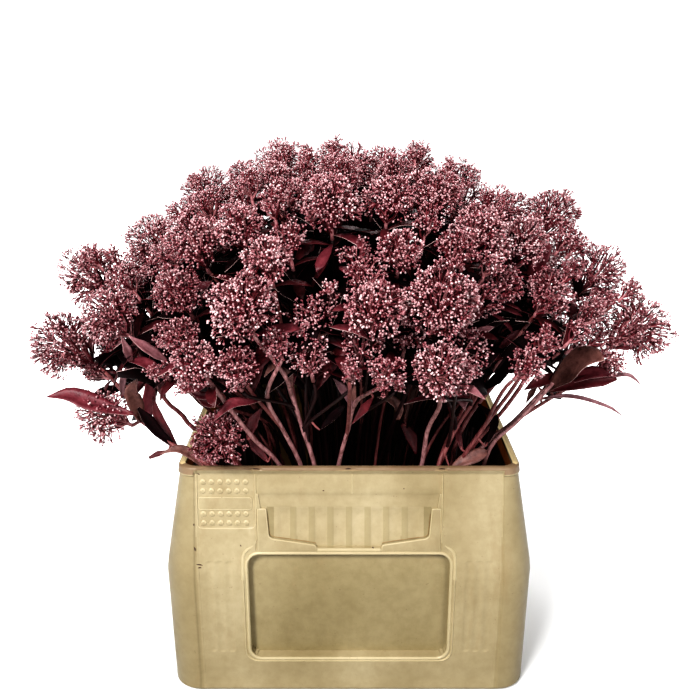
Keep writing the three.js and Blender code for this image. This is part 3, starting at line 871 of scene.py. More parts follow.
def strip(soup, side, path, width, height, base=LEVEL, closed=False, mat=2):
    """A low rounded ridge along a line drawn on a wall, by default in the lighter edge tint: painted highlight."""
    p = np.asarray(path, float)
    n = len(p)
    if closed:
        t = unit(np.roll(p, -1, 0) - np.roll(p, 1, 0))
    else:
        t = unit(np.gradient(p, axis=0))
    nr = np.stack([-t[:, 1], t[:, 0]], 1)
    prof = [(-0.5, -0.25), (-0.34, 0.4), (-0.14, 0.85), (0.14, 0.85), (0.34, 0.4), (0.5, -0.25)]
    v = []
    for q in range(n):
        for o, h in prof:
            a = p[q] + nr[q] * o * width
            v.append(on_wall(side, a[0], a[1], base + h * height))
    k = len(prof)
    f = []
    for q in range(n if closed else n - 1):
        a, b = q * k, ((q + 1) % n) * k
        for e in range(k - 1):
            f += [(a + e, b + e, b + e + 1), (a + e, b + e + 1, a + e + 1)]
    if not closed:
        for a, turn in ((0, False), ((n - 1) * k, True)):
            for e in range(1, k - 1):
                f.append((a, a + e + 1, a + e) if turn else (a, a + e, a + e + 1))
    f = np.array(f)
    if np.dot(face_up(v, f, side), (1.0,)) < 0:
        f = f[:, ::-1]
    soup.add(v, f, mat)


def face_up(v, f, side):
    """Positive when the faces look out of the wall."""
    v = np.array(v)[np.array(f)]
    n = np.cross(v[:, 1] - v[:, 0], v[:, 2] - v[:, 0]).sum(0)
    out = {0: (0, -1, 0), 1: (1, 0, 0), 2: (0, 1, 0), 3: (-1, 0, 0)}[side]
    return np.array([n @ np.array(out)])


def inset(p, d):
    """Move a counter-clockwise outline inwards by d."""
    n = len(p)
    out = []
    for q in range(n):
        e0, e1 = unit(p[q] - p[q - 1]), unit(p[(q + 1) % n] - p[q])
        n0, n1 = np.array([-e0[1], e0[0]]), np.array([-e1[1], e1[0]])
        b = unit(n0 + n1)
        out.append(p[q] + b * d / max(0.35, float(b @ n0)))
    return np.array(out)


def plate(soup, side, outline, height, bevel=0.7, base=LEVEL, mat=0):
    """A raised flat with bevelled edges, from its outline on a wall; the bevels take the lighter edge tint, a painted
    highlight.
    """
    from mathutils.geometry import tessellate_polygon
    p = np.asarray(outline, float)
    area2 = np.sum(p[:, 0] * np.roll(p[:, 1], -1) - np.roll(p[:, 0], -1) * p[:, 1])
    if area2 < 0:
        p = p[::-1]
    n = len(p)
    rings = [(p, -0.6), (p, height - bevel * 0.8), (inset(p, bevel * 0.35), height - bevel * 0.25), (inset(p, bevel), height)]
    v = [on_wall(side, a[0], a[1], base + h) for ring, h in rings for a in ring]
    f = []
    for k in range(3):
        for q in range(n):
            r2 = (q + 1) % n
            a, b = k * n, (k + 1) * n
            f += [(a + q, a + r2, b + r2), (a + q, b + r2, b + q)]
    top = tessellate_polygon([[Vector((a[0], a[1], 0)) for a in rings[3][0]]])
    for t in top:
        f.append(tuple(3 * n + q for q in t))
    f = np.array(f)
    flat = f[6 * n:]
    if face_up(v, flat, side)[0] < 0:
        f[6 * n:] = flat[:, ::-1]
    # the skirt's faces look away from the outline's middle
    vv = np.array(v)
    c = vv[:n].mean(0)
    s0 = f[:2 * n]
    nn = np.cross(vv[s0][:, 1] - vv[s0][:, 0], vv[s0][:, 2] - vv[s0][:, 0])
    if (nn * (vv[s0].mean(1) - c)).sum() < 0:
        f[:6 * n] = f[:6 * n][:, ::-1]
    soup.add(v, f, np.array([mat] * (2 * n) + [2] * (4 * n) + [mat] * (len(f) - 6 * n)))


def rounded(cx, cz, hw, hh, r, steps=6):
    out = []
    for qx, qz, a0 in ((1, 1, 0), (-1, 1, 90), (-1, -1, 180), (1, -1, 270)):
        for k in range(steps + 1):
            a = (a0 + 90 * k / steps) * DEG
            out.append((cx + qx * (hw - r) + r * math.cos(a), cz + qz * (hh - r) + r * math.sin(a)))
    return np.array(out)


def arc(cx, cz, r, a0, a1, steps=5):
    return [(cx + r * math.cos(a * DEG), cz + r * math.sin(a * DEG)) for a in np.linspace(a0, a1, steps)]


def trims():
    soup = Soup()
    t = np.arange(12) * 30 * DEG
    for side in (0, 2):
        # sticker field with its bare plate and its dots
        frame_line = [(-167.0, 271.0)] + arc(-161.6, 215.0, 5.4, 180, 270) + arc(-108.7, 215.0, 5.4, 270, 360) + [(-103.3, 271.0)]
        dense = []
        for a, b in zip(frame_line[:-1], frame_line[1:]):
            k = max(1, int(math.dist(a, b) / 9))
            dense += [tuple(np.array(a) + (np.array(b) - np.array(a)) * q / k) for q in range(k)]
        strip(soup, side, dense + [frame_line[-1]], 1.1, 0.35)
        plate(soup, side, rounded(-136.2, 238.2, 29.6, 7.2, 3.0), 0.9, 0.5, LEVEL - 0.8)
        strip(soup, side, rounded(-136.2, 238.2, 29.2, 6.8, 2.8), 1.1, 0.45, LEVEL + 0.02, closed=True)
        for z in (262.2, 252.1, 226.1, 215.9):
            for c in range(6):
                x = -160.2 + 9.36 * c
                v = []
                for rad, lift in ((3.7, -0.4), (3.3, 0.4), (2.7, 0.8), (1.5, 1.0)):
                    v += [on_wall(side, x + rad * math.cos(a), z + rad * math.sin(a), LEVEL - 0.8 + lift) for a in t]
                v.append(on_wall(side, x, z, LEVEL - 0.8 + 1.05))
                f = []
                for a in range(3):
                    for q in range(12):
                        p, r2 = a * 12 + q, a * 12 + (q + 1) % 12
                        f += [(p, r2, r2 + 12), (p, r2 + 12, p + 12)]
                f += [(36 + q, 36 + (q + 1) % 12, 48) for q in range(12)]
                # part of each dot's slope takes the lighter edge tint: painted highlight
                soup.add(v, f, np.array([0] * 24 + [2] * 36 + [0] * 24))
        for k in (-1, 1):
            # the upright ridge runs down from the rim and round the sunk panel
            line = [(k * 102.4, z) for z in (271.0, 268, 250, 233, 216, 203, 199)]
            line += [(k * 102.9, 195.6), (k * 104.8, 192.2), (k * 108.0, 189.0), (k * 112.4, 185.6), (k * 115.9, 181.8), (k * 117.6, 177.0), (k * 118.0, 172)]
            line += [(k * 118.0, z) for z in (150, 120, 90, 64, 58)]
            line += [(k * x, z) for x, z in arc(104.0, 55.6, 14.0, 0, -90, 6)] + [(k * 60, 41.6), (0, 41.6)]
            strip(soup, side, line, 2.3, 1.5)
            strip(soup, side, line[7:15], 4.4, 1.4)
            # lips of the card holder
            lip = [(101.4, 232.9), (93.0, 232.9), (91.4, 232.3), (90.7, 230.6), (88.5, 203.0), (87.7, 200.6), (85.4, 199.0), (82.5, 198.3),
                   (39.4, 191.9), (37.0, 191.0), (36.0, 189.4), (35.4, 183.4), (101.4, 183.4)]
            plate(soup, side, [(k * x, z) for x, z in lip], 2.0, 1.1, LEVEL - 0.8)
            # a darker brown strip runs where the holder's floor meets the lip: painted shade under the lip's edge
            rest = [(90.2, 231.0), (88.9, 214), (87.9, 203.2), (86.9, 200.9), (84.9, 199.6), (82.3, 198.9), (61, 195.9), (39.3, 192.6), (36.4, 191.5)]
            strip(soup, side, [(k * x, z) for x, z in rest], 0.9, 0.3, LEVEL - 0.8 - 1.7, mat=1)
            plate(soup, side, [(k * x, z) for x, z in ((102.0, 249.6), (100.0, 249.4), (97.6, 236), (97.4, 232.4), (102.0, 232.4))], 1.9, 0.5, LEVEL - 0.6)
            # seam beside the corner post
            strip(soup, side, [(k * (POST - 1.2), z) for z in (270.5, 240, 210, 185, 166, 154, 120, 80, 40, 10)], 1.3, 0.25, mat=0)
        strip(soup, side, [(3.4, 271.0), (3.4, 260), (3.4, 249.5)], 1.6, 0.7)
        # roll of the sunk panel's edge, in the lighter edge tint: painted highlight
        strip(soup, side, rounded(0, WIN[1], WIN[2] + 1.7, WIN[3] + 1.5, WIN[4] + 1.4, 9), 4.2, 1.7, closed=True)
        # the ledge under the pocket, in the lighter edge tint: painted highlight
        strip(soup, side, [(x, 185.2) for x in np.linspace(-35, 35, 8)], 5.4, 1.0, LEVEL + 0.3)
    for side in (1, 3):
        strip(soup, side, rounded(0, WIN[1], PANEL["short"] / 2 + 1.7, WIN[3] + 1.5, WIN[4] + 1.4, 9), 4.2, 1.7, closed=True)
        for k in (-1, 1):
            strip(soup, side, [(k * 64.5, z) for z in (271.0, 240, 215, 200, 194)], 2.3, 1.5)
            strip(soup, side, [(k * (POST_Y - 0.9), z) for z in (274.5, 240, 210, 185, 166, 154, 120, 80, 40, 10)], 1.1, 0.5)
        # hand grip bar under the rim
        plate(soup, side, rounded(0, 252, 46, 6.5, 4.5), 2.2, 1.0)
        strip(soup, side, rounded(0, 220, 50, 16, 5), 1.7, 1.0, closed=True)
    return soup


def sharpen(o, angle):
    o.data.set_sharp_from_angle(angle=math.radians(angle))


box_piece = make_piece("container_shell", container(), [CREAM, INNER_PAINTED_SHADE, SUNK_PAINTED_SHADE, RIM, POSTS_PAINTED_SHADE, BAND, FIELD, INNER_WALL_PAINTED_GLOW, EAVE, RIM_PAINTED_GLOW, AMBER_PAINTED_GLOW])
sharpen(box_piece, 38)
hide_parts("container")
trim_piece = make_piece("container_relief", trims(), [CREAM, LIP_PAINTED_SHADE, RIDGE_PAINTED_HIGHLIGHT])
sharpen(trim_piece, 50)

# dried bits of plant caught on the container
fleck = Soup()
FLECKS = [(-61.5, 181.6, 7.5, 14, 0.6), (-170.5, 187, 5, 80, 0.3), (-166, 168, 7, 8, 0.4), (-166, 164.5, 4, -4, 0.4), (-164.5, 271.0, 2.6, 30, 0.3),
          (-69.5, 187.5, 4, 62, 0.9), (26.4, 188.0, 2.2, 30, 0.5), (-28, 252.5, 1.6, 10, 0.2), (96, 208, 1.6, 40, 0.9), (-101, 278.2, 7, 3, -0.6),
          (-1, 278.4, 6, -3, -0.6), (101, 278.2, 7, 2, -0.6), (-120, 190, 1.8, 50, 0.2), (60, 255, 1.4, 70, 0.2), (-171, 215, 2.4, 85, 0.3)]
for turn in (1, -1):
    for x, z, length, lean, lift in FLECKS:
        hy = section(OUTSIDE, z)[1] + float(long_relief(x, z))
        d = np.array([math.cos(lean * DEG), 0, -math.sin(lean * DEG)])
        pts = np.array([np.array([x, -(hy + lift), z]) + d * (q - 0.5) * length + np.array([0, 0, 0.5 * math.sin(q * math.pi)]) for q in np.linspace(0, 1, 6)])
        pts[:, 0] *= turn
        pts[:, 1] *= turn
        tube(fleck, pts, 0.55 * np.sin(np.linspace(0.15, 3.0, 6)) + 0.12, 6)
fleck_piece = make_piece("container_flecks", fleck, [DEBRIS])

# ------------------------------------------------------------------------ crown
ALL = BLOOMS + far_blooms()
STEM_N = 44
RED, DUSK, DARK, PALE, BUD_PAINTED_SHADE = range(5)


def lean(d, lift):
    return unit(d * (1 - lift) + np.array([0, 0, lift]))


def stem_line(name, at, axis, r, jitter=None):
    out = at - THROAT
    share = math.acos(out[2] / np.linalg.norm(out)) / (LOWEST_TILT * DEG)
    share = min(share, 1.05)
    side = unit(out[:2]) * share ** REACH_POWER
    foot = np.array([side[0] * FOOT_REACH[0], side[1] * FOOT_REACH[1], FLOOR + 0.4])
    rim = np.array([side[0] * MOUTH_REACH[0], side[1] * MOUTH_REACH[1], HEIGHT - 14 + 18 * share * share])
    if name in MOUTHS:
        rim = np.array(MOUTHS[name], float)
    end = at - axis * 1.02 * r
    run = unit(end - rim)
    back = rim - run * (HEIGHT - FLOOR) / max(run[2], 0.45)
    foot[:2] = foot[:2] * 0.45 + back[:2] * 0.55
    foot[:2] /= max(abs(foot[0]) / 150, abs(foot[1]) / 106, 1)
    mid = foot * 0.5 + rim * 0.5
    if jitter is not None:
        foot[:2] += jitter[:2]
        mid[:2] += jitter[2:4]
        rim[:2] += jitter[4:6]
    for p in (foot, mid, rim):
        p[:2] /= max(abs(p[0]) / 166, abs(p[1]) / 122, 1)
    way = rim + (end - rim) * 0.62
    return [foot, mid, rim, way * 0.68 + (at - axis * 1.9 * r) * 0.32]


class Head:
    pass


OPEN = [(150, 386, 204, 470), (20, 396, 160, 480), (498, 370, 545, 445), (525, 388, 700, 480)]


def shows(line):
    """True where a limb would cross the open fringe beside the container."""
    seen, _ = to_picture(line[line[:, 2] > 281])
    return any(((seen[:, 0] > a) & (seen[:, 0] < c) & (seen[:, 1] > b) & (seen[:, 1] < d)).any() for a, b, c, d in OPEN)


heads = []
rng = np.random.default_rng(11)
LOOSE = {"left_1": 0.6, "left_2": 0.4, "right_1": 1.0, "right_2": 0.3, "left_5": 0.9, "left_6": 0.7, "front_7": 0.8,
         "front_8": 0.7, "right_6": 0.8, "right_5": 0.5, "front_12": 0.3, "front_6": 0.5, "front_3": 0.4, "top_1": 0.5, "top_3": 0.4, "front_9": 0.3}
for name, hs in ALL:
    places = [head_place(h) for h in hs]
    mean_at = np.mean([q[0] for q in places], 0)
    mean_axis = unit(np.sum([q[1] for q in places], 0))
    mean_r = float(np.mean([h[3] for h in hs]))
    first = None
    for i, h in enumerate(hs):
        H = Head()
        H.at, H.axis, H.r = places[i][0], places[i][1], h[3]
        H.name, H.kind = name, "main"
        H.front = not name.startswith("back")
        H.loose = LOOSE.get(name, 0.15)
        H.end = H.at - H.axis * H.r * 1.02
        if i == 0 or (i == 2):
            base = stem_line(name, mean_at, mean_axis, mean_r) if i == 0 else stem_line("", H.at, H.axis, H.r, rng.normal(0, 5, 6))
            if i == 0 and name in PASSING:
                near, away = (base[2] - CAM_AT) @ FWD, (H.end - CAM_AT) @ FWD
                via = PASSING[name]
                base = base[:3]
                for q, px in enumerate(via):
                    ray = picture_ray(*px)
                    base.append(CAM_AT + ray * (near + (away - near) * (q + 1) / (len(via) + 1)) / (ray @ FWD))
            H.line = catmull(base + [H.end], STEM_N)
            if not (i == 0 and name in PASSING) and shows(H.line):
                # it stays among the others until it is inside the crown
                side = 1 if H.at[0] > 0 else -1
                foot = base[0] * np.array([0.8, 1, 1])
                rim = np.array([side * 104.0, np.clip(base[2][1], -60, 60), 281.0])
                near, away = (rim - CAM_AT) @ FWD, (H.end - CAM_AT) @ FWD
                ray = picture_ray(*((491, 372) if side > 0 else (215, 381)))
                gate = CAM_AT + ray * (near * 0.5 + away * 0.5) / (ray @ FWD)
                H.line = catmull([foot, foot * 0.5 + rim * 0.5, rim, gate, H.end], STEM_N)
                print("rerouted", name, i, shows(H.line))
            first = first or H
            H.from_k = 0
        else:  # a side shoot forks from the first head's stem
            k = int(STEM_N * 0.72)
            root = first.line[k]
            t = unit(first.line[k + 1] - first.line[k])
            H.line = catmull([root, root + t * 14, H.at - H.axis * 1.9 * H.r, H.end], STEM_N // 2)
            H.from_k = k
        heads.append(H)
mains = len(heads)

# smaller, deeper heads fill the dome between the main ones
HOLLOWS = [(130, 342, 158, 358), (300, 256, 346, 304), (478, 316, 524, 402), (386, 234, 414, 264), (196, 262, 232, 300)]


def allowed(p):
    if p[2] < 322:
        return False
    q, depth = to_picture(p)
    if p[1] < 110 and q[1] > 384:
        return False
    if p[1] < 60:
        if 236 < q[0] < 545 and q[1] > 366:
            return False
        if any(a - 10 < q[0] < c + 10 and b - 8 < q[1] < d2 + 8 for a, b, c, d2 in HOLLOWS):
            return False
    if (q[0] < 150 and q[1] > 395) or (q[0] > 590 and q[1] > 365 and p[1] < 0):
        return False
    return True


g = np.random.default_rng(77)
cand = []
k = np.arange(1500) + 0.5
cz = 1 - (1 - math.cos(80 * DEG)) * k / 1500
for c, ph in zip(cz, k * 2.399963):
    t = math.sin(math.acos(c))
    d = np.array([t * math.cos(ph), t * math.sin(ph), c])
    far = (g.uniform(0.90, 0.99) if c > 0.72 else g.uniform(0.86, 0.96)) / np.linalg.norm(d / DOME)
    p = THROAT + d * far
    if allowed(p):
        cand.append((p, d))
cand_p = np.array([c[0] for c in cand])
cand_d = np.array([c[1] for c in cand])
taken = [(H.at, H.r * 1.02) for H in heads]
fill = []
gap = np.min(np.linalg.norm(cand_p[:, None] - np.array([t[0] for t in taken])[None], axis=2) - np.array([t[1] for t in taken])[None], axis=1)
for least, most, side in ((3.0, 84, 1), (5.5, 128, -1)):
    ours = (cand_p[:, 1] < 90) == (side > 0)
    while len(fill) < most:
        j = int(np.argmax(np.where(ours, gap, -99)))
        if not ours[j] or gap[j] < least:
            break
        r = float(np.clip(gap[j] + 9, 16, 27))
        fill.append((cand_p[j], cand_d[j], r))
        gap = np.minimum(gap, np.linalg.norm(cand_p - cand_p[j], axis=1) - r)
own_stem = [H for H in heads if H.from_k == 0]


def fork(p, axis, r, must=False):
    """A side shoot's line from a stem nearby, clear of the open fringe."""
    best = None
    for share in (g.uniform(0.6, 0.72), 0.78, 0.86):
        for main in sorted(own_stem, key=lambda m: np.linalg.norm(m.line[30] - p))[:6]:
            k = int(STEM_N * share)
            root = main.line[k]
            t = unit(main.line[k + 1] - root)
            line = catmull([root, root + t * 16, p - axis * 1.9 * r, p - axis * r * 1.02], STEM_N // 2)
            best = best or (line, k)
            if not shows(line):
                return line, k
    return best if must else None


# small heads on the outline and in its gaps: places in the picture and radii
SPRIGS = [(199, 182, 14), (307, 153, 13), (334, 148, 15), (417, 153, 16), (450, 166, 12), (92, 258, 19), (112, 257, 15), (566, 240, 21),
          (576, 246, 18), (630, 291, 17), (597, 301, 19), (601, 337, 21), (577, 345, 17), (590, 316, 18), (96, 372, 17), (82, 362, 14),
          (368, 182, 20), (372, 204, 20), (360, 168, 16), (193, 226, 15), (470, 372, 14, 0.96), (452, 389, 11, 0.95), (398, 382, 12, 0.94), (160, 372, 15, 0.9),
          (236, 384, 13, 0.93), (352, 376, 12, 0.94), (500, 250, 16, 0.97), (300, 330, 13, 0.93), (231, 250, 17, 0.82),
          (530, 221, 14, 0.9), (612, 300, 14, 0.95), (185, 389, 12, 0.9)]
for p, d, r in fill:
    H = Head()
    H.at, H.r, H.name, H.kind = p, r, "fill", "fill"
    H.axis = lean(d, 0.4)
    H.front = p[1] < 40
    H.loose = 0.35
    H.end = H.at - H.axis * H.r * 1.02
    way = fork(H.at, H.axis, H.r)
    if way:
        H.line, H.from_k = way
        heads.append(H)
for x, y, r, *share in SPRIGS:
    H = Head()
    ray = picture_ray(x, y)
    near, way = (CAM_AT - THROAT) / DOME, ray / DOME
    t = -(near @ way) / (way @ way)
    if share:  # on the crown's near side
        t -= math.sqrt(max(0, t * t - (near @ near - share[0] ** 2) / (way @ way)))
    H.at = CAM_AT + ray * t
    H.r, H.kind, H.name = r, "sprig", "left" if x < 180 else "right" if x > 540 else "top"
    H.axis = lean(unit(H.at - THROAT), 0.3)
    H.front, H.loose = True, 0.5
    H.end = H.at - H.axis * H.r * 1.02
    H.line, H.from_k = fork(H.at, H.axis, H.r, True)
    heads.append(H)
print(mains, "main heads,", len(fill), "fillers")

bud_soups = {}
twig = Soup()
leaf = Soup()
stem = Soup()


def fib(n, cap):
    i = np.arange(n) + 0.5
    c = 1 - (1 - math.cos(cap)) * i / n
    q = np.sqrt(np.maximum(0, 1 - c * c))
    p = i * 2.399963
    return np.stack([q * np.cos(p), q * np.sin(p), c], 1)


def panicle(soup, at, axis, R, seed, spacing, odds, cap=116, loose=0.0, bud=1.22, dim=0, plain_below=-0.3, shafts=1.0):
    """A domed head: rachis, branches, branchlets and the buds they carry."""
    g = np.random.default_rng(seed)
    d, a, b = basis(axis)
    roll = g.uniform(0, 6.283)
    a, b = a * math.cos(roll) + b * math.sin(roll), -a * math.sin(roll) + b * math.cos(roll)
    M = np.stack([a, b, d])
    cap = cap * DEG
    nb = int((1 + 0.22 * loose) * 2 * math.pi * (1 - math.cos(cap)) * R * R / (0.866 * spacing ** 2))
    n1 = max(7, round(nb / (23 - 6 * loose)))
    n2 = max(2 * n1, round(nb / 4.6))
    dirs = unit(fib(nb, cap) + g.normal(0, 0.34 * spacing / R, (nb, 3)))
    prim = unit(fib(n1, cap * 0.96) + g.normal(0, 0.15, (n1, 3)))
    sec = unit(fib(n2, cap) + g.normal(0, 0.08, (n2, 3)))
    of_sec = np.argmax(sec @ prim.T, 1)
    of_bud = np.argmax(dirs @ sec.T, 1)
    pb = of_sec[of_bud]
    k1 = 0.12 + 0.06 * loose
    sec = unit(sec * (1 - k1) + prim[of_sec] * k1)
    k2 = 0.20 + 0.08 * loose
    dirs = unit(dirs * (1 - k2) + sec[of_bud] * k2)
    m = g.uniform(0.84, 1.06, n1) + (g.random(n1) < 0.2) * g.uniform(0.03, 0.11, n1)
    w = g.normal(0, 1.4, (4, 3))
    ph = g.uniform(0, 6.283, 4)
    tall = g.uniform(0.04, 0.16)

    def lump(u):
        return 0.03 * np.sin(u @ w.T + ph).sum(1) + tall * np.maximum(0, u[:, 2]) ** 3 - 0.05 * (1 - np.maximum(0, u[:, 2]))

    n2r = g.normal(0, 0.035, n2)
    short = 1 - (g.random(n2) < 0.10 + 0.34 * loose) * g.uniform(0.10, 0.40, n2)
    ang = np.arccos(np.clip((dirs * prim[pb]).sum(1), -1, 1))
    rad = R * ((m[pb] + n2r[of_bud]) * (1 + lump(dirs)) - (1.0 + 0.4 * loose) * ang ** 2)
    rad = rad * short[of_bud] + g.normal(0, 0.9, nb) - g.exponential(1.0, nb)
    flat = np.array([g.uniform(0.96, 1.06), g.uniform(0.96, 1.06), g.uniform(0.90, 1.0)])
    sang = np.arccos(np.clip((sec * prim[of_sec]).sum(1), -1, 1))
    srad = R * ((m[of_sec] + n2r) * (1 + lump(sec)) * 0.80 - (0.9 + 0.6 * loose) * sang ** 2) * short
    sink = 0.20 * R

    def drop(u, p):
        p = p * flat
        p[:, 2] -= sink * np.maximum(0, -u[:, 2]) ** 1.2
        return p

    P = drop(dirs, dirs * rad[:, None])
    S = drop(sec, sec * srad[:, None])
    Q = drop(prim, prim * (R * m * 0.5)[:, None])
    t = (1 + prim[:, 2]) / 2
    B = np.stack([prim[:, 0] * 0.6, prim[:, 1] * 0.6, R * (-1.0 + 0.84 * t ** 1.4)], 1)
    keep = g.random(nb) > 0.04 + 0.10 * loose + 0.30 * np.clip(-dirs[:, 2] * 1.6, 0, 1)
    P, of_bud, dirs = P[keep], of_bud[keep], dirs[keep]
    out = unit(unit(P - S[of_bud]) * 0.6 + dirs * 0.4 + g.normal(0, 0.15, P.shape))

    def world(x):
        return at + x @ M

    n = len(P)
    size = g.normal(1.0, 0.11, n).clip(0.72, 1.3)
    odds = np.array(odds, float)
    sprig = g.choice(len(odds), n1, p=odds / odds.sum())
    own = g.choice(len(odds), n, p=odds / odds.sum())
    mat = np.where(g.random(n) < 0.6, own, sprig[of_sec[of_bud]])
    # about a third of the buds facing down take the dark wine tint: painted shade under the head
    low = dirs[:, 2] < -0.1
    mat = np.where(low & (g.random(n) < 0.3), DARK, mat)
    far = (dirs @ M) @ unit(CAM_AT - at) < plain_below
    W, O = world(P), out @ M
    long = bud * 1.16 * size * g.uniform(0.9, 1.15, n)
    spin = g.uniform(0, 6.283, n)
    for some, small in ((~far, False), (far, True)):
        buds(soup, W[some], O[some], bud * size[some], long[some], spin[some], mat[some], small)
    # pedicels are rose or wine, more often wine in dim heads: painted shade
    pm = np.where(g.random(n) < 0.45 + 0.45 * (dim > 0), 1, 0)
    has = g.random(n) < shafts
    spikes(twig, world(P - out * bud)[has], world(S[of_bud])[has], 0.5 + 0.16 * loose, pm[has])
    used = np.unique(of_bud[g.random(n) < shafts])
    # inner branchlets, branches and the rachis take the darker twig tints, the more so in dim heads: painted shade
    # inside the head
    sticks(twig, world(Q[of_sec[used]]), world(S[used]), 0.85 + 0.2 * loose, 0.55 + 0.2 * loose, 3,
           g.choice(3, len(used), p=[[0.18 + 0.2 * loose, 0.50, 0.32 - 0.2 * loose], [0, 0.3, 0.7]][int(dim > 0)]))
    C = B * 0.45 + Q * 0.55 + np.stack([Q[:, 0] * 0.10, Q[:, 1] * 0.10, -np.full(n1, 0.05 * R)], 1)
    main = g.choice(3, n1, p=[[0.30 + 0.25 * loose, 0.45, 0.25 - 0.25 * loose], [0, 0.3, 0.7]][int(dim > 0)])
    k = 4 if plain_below < 0.9 else 3
    sticks(twig, world(B), world(C), 1.3, 1.1, k, main)
    sticks(twig, world(C), world(Q), 1.12, 0.8, k, main)
    z = np.linspace(-1.06, 0.0, 5) * R
    tube(twig, world(np.stack([np.zeros(5), np.zeros(5), z], 1)), np.linspace(2.3, 1.1, 5), 6, mat=int(dim > 0))
    return n


GROW = {"left_1": 1.13, "left_2": 1.12, "left_3": 1.0, "left_5": 0.98, "right_1": 0.98, "right_2": 0.95, "right_3": 0.94, "top_1": 0.96, "top_2": 1.0, "top_3": 0.99, "top_4": 1.0}
SHADY = {"right_5", "right_6", "front_8", "front_7", "left_6", "front_10", "front_12"}
total = 0
for k, H in enumerate(heads):
    if H.kind == "main":
        zone = H.name.split("_")[0]
        key = "buds_" + zone
        if zone == "back":
            key += "_a" if H.at[0] < 0 else "_b"
        # heads on the right, and the shady ones, lean to the darker bud tints: painted shade
        odds = [2.6, 3.2, 3.1, 0.7] if zone == "right" else [4, 3.4, 1.8, 1.0]
        if H.name in SHADY:
            odds = [2.4, 3, 3.4, 0.5]
        if H.name in ("front_3", "front_6", "front_1", "front_14", "front_9", "right_4"):
            odds = [4, 2.4, 0.9, 1.8]
        near = zone == "front" and H.name not in SHADY
        high = H.at[2] > 430
        spacing, bud = (3.75, 1.1) if near else (3.9, 1.12) if H.front else (4.4, 1.22) if high else (5.5, 1.7)
        total += panicle(bud_soups.setdefault(key, Soup()), H.at, H.axis, H.r * GROW.get(H.name, 1.04 if zone == "top" else 1.06), 1000 + k, spacing + 0.55 * H.loose, odds,
                         112 + 14 * H.loose, H.loose, bud + (0.16 * H.loose if H.front else 0), 0, -0.1 if near else 2, 1.0 if H.front else 0.55)
    elif H.kind == "sprig":
        # sprigs on the right lean to the darker bud tints: painted shade
        total += panicle(bud_soups["buds_" + H.name], H.at, H.axis, H.r, 1000 + k, 4.0, [2.4, 3, 3, 0.5] if H.name == "right" else [3.4, 3.4, 2, 0.8], 118, H.loose, 1.15, 0, 2)
    else:
        # low fillers are dim and take a share of the near-black bud tint: painted shade deep in the crown
        total += panicle(bud_soups.setdefault("buds_deep", Soup()), H.at, H.axis, H.r, 1000 + k, *((4.5, [3.4, 3.4, 2.4, 0.7]) if H.at[2] > 400 and H.at[1] < 120 else (5.8, [1.0, 2.6, 4, 0.3, 1.4])),
                         84, H.loose, 1.2 if H.at[2] > 400 else 1.4, 0 if H.at[2] > 400 else 1, 2, 0.5)
# a small side shoot low at the front
place, axis = head_place((-96.1, 39.2, 0.90, 12.7))
total += panicle(bud_soups["buds_front"], place, axis, 13.5, 4001, 4.6, [3, 3, 2, 1], 125, 0.9)
print(total, "buds")

# --------------------------------------------------------------------- stems
rng = np.random.default_rng(23)


def limb(line, r0, r1, mat, scars=6, sides=8):
    n = len(line)
    q = np.linspace(0, 1, n)
    rad = r0 + (r1 - r0) * q
    th = np.arange(sides) * 2 * math.pi / sides
    ph = rng.uniform(0, 6.283, 4)
    rel = 1 + 0.05 * np.sin(2 * th[None] + ph[0] + 5 * q[:, None]) + 0.05 * np.sin(3 * th[None] + ph[1] - 9 * q[:, None])
    rel += rng.normal(0, 0.03, (n, sides))
    if n > 12:
        for c in rng.choice(np.arange(4, n - 2), scars, replace=False):  # leaf scars
            rel[c] += 0.17 * (0.5 + 0.5 * np.cos(th - rng.uniform(0, 6.283)))
    tube(stem, line, rad, sides, rel, mat=mat)


for H in heads:
    at_rim = H.line[np.argmin(np.abs(H.line[:, 2] - 284))]
    lit = H.name in PASSING and H.kind == "main"
    # stems that pass in front take the lighter tints, the rest mostly the near-black one: painted light and shade
    tint = int(H.name in ("right_5", "right_6")) if lit else 1 if H.front and rng.random() < 0.3 else 2
    if H.kind != "main":
        limb(H.line[::2], 2.2, 1.7, 2 if rng.random() < 0.7 else 1, 3, 5)
    elif H.from_k:
        limb(H.line[::2], 2.2, 1.8, 1 if H.front else 2, 3, 7)
    else:
        wide = 4.2 if H.name in ("left_5", "left_1", "left_4") else 3.0 if lit else 2.3
        limb(H.line, wide, 2.1 if lit else 1.8, 1 if H.name in ("left_5", "left_1", "left_4") else tint, 7)
# more stems slant out at the sides: places in the picture, how far back they end, radii
for px, back, r0, r1, tint in (
        ([(455, 446), (472, 412), (488, 392), (505, 370)], -60, 3.0, 2.2, 1), ([(471, 451), (493, 423), (517, 392), (531, 368)], -110, 2.8, 2.1, 1),
        ([(441, 460), (452, 430), (465, 405), (478, 380)], -40, 2.8, 2.1, 1), ([(491, 446), (513, 425), (533, 405), (553, 383)], -70, 2.7, 2.1, 0),
        ([(208, 414), (200, 403), (191, 393), (182, 380)], -70, 2.4, 1.9, 1)):
    rays = [picture_ray(*q) for q in px]
    mouth = CAM_AT + rays[0] * (281 - CAM_AT[2]) / rays[0][2]
    mouth[:2] /= max(abs(mouth[0]) / 172, abs(mouth[1]) / 126, 1)
    end = CAM_AT + rays[-1] * (back - CAM_AT[1]) / rays[-1][1]
    near, away = (mouth - CAM_AT) @ FWD, (end - CAM_AT) @ FWD
    way = [CAM_AT + ray * (near + (away - near) * q / (len(px) - 1)) / (ray @ FWD) for q, ray in enumerate(rays)]
    foot = np.array([mouth[0] * 0.78, mouth[1] * 0.7, FLOOR + 0.4])
    limb(catmull([foot, foot * 0.5 + mouth * 0.5, mouth] + way[1:], 30), r0, r1, tint, 6, 7)
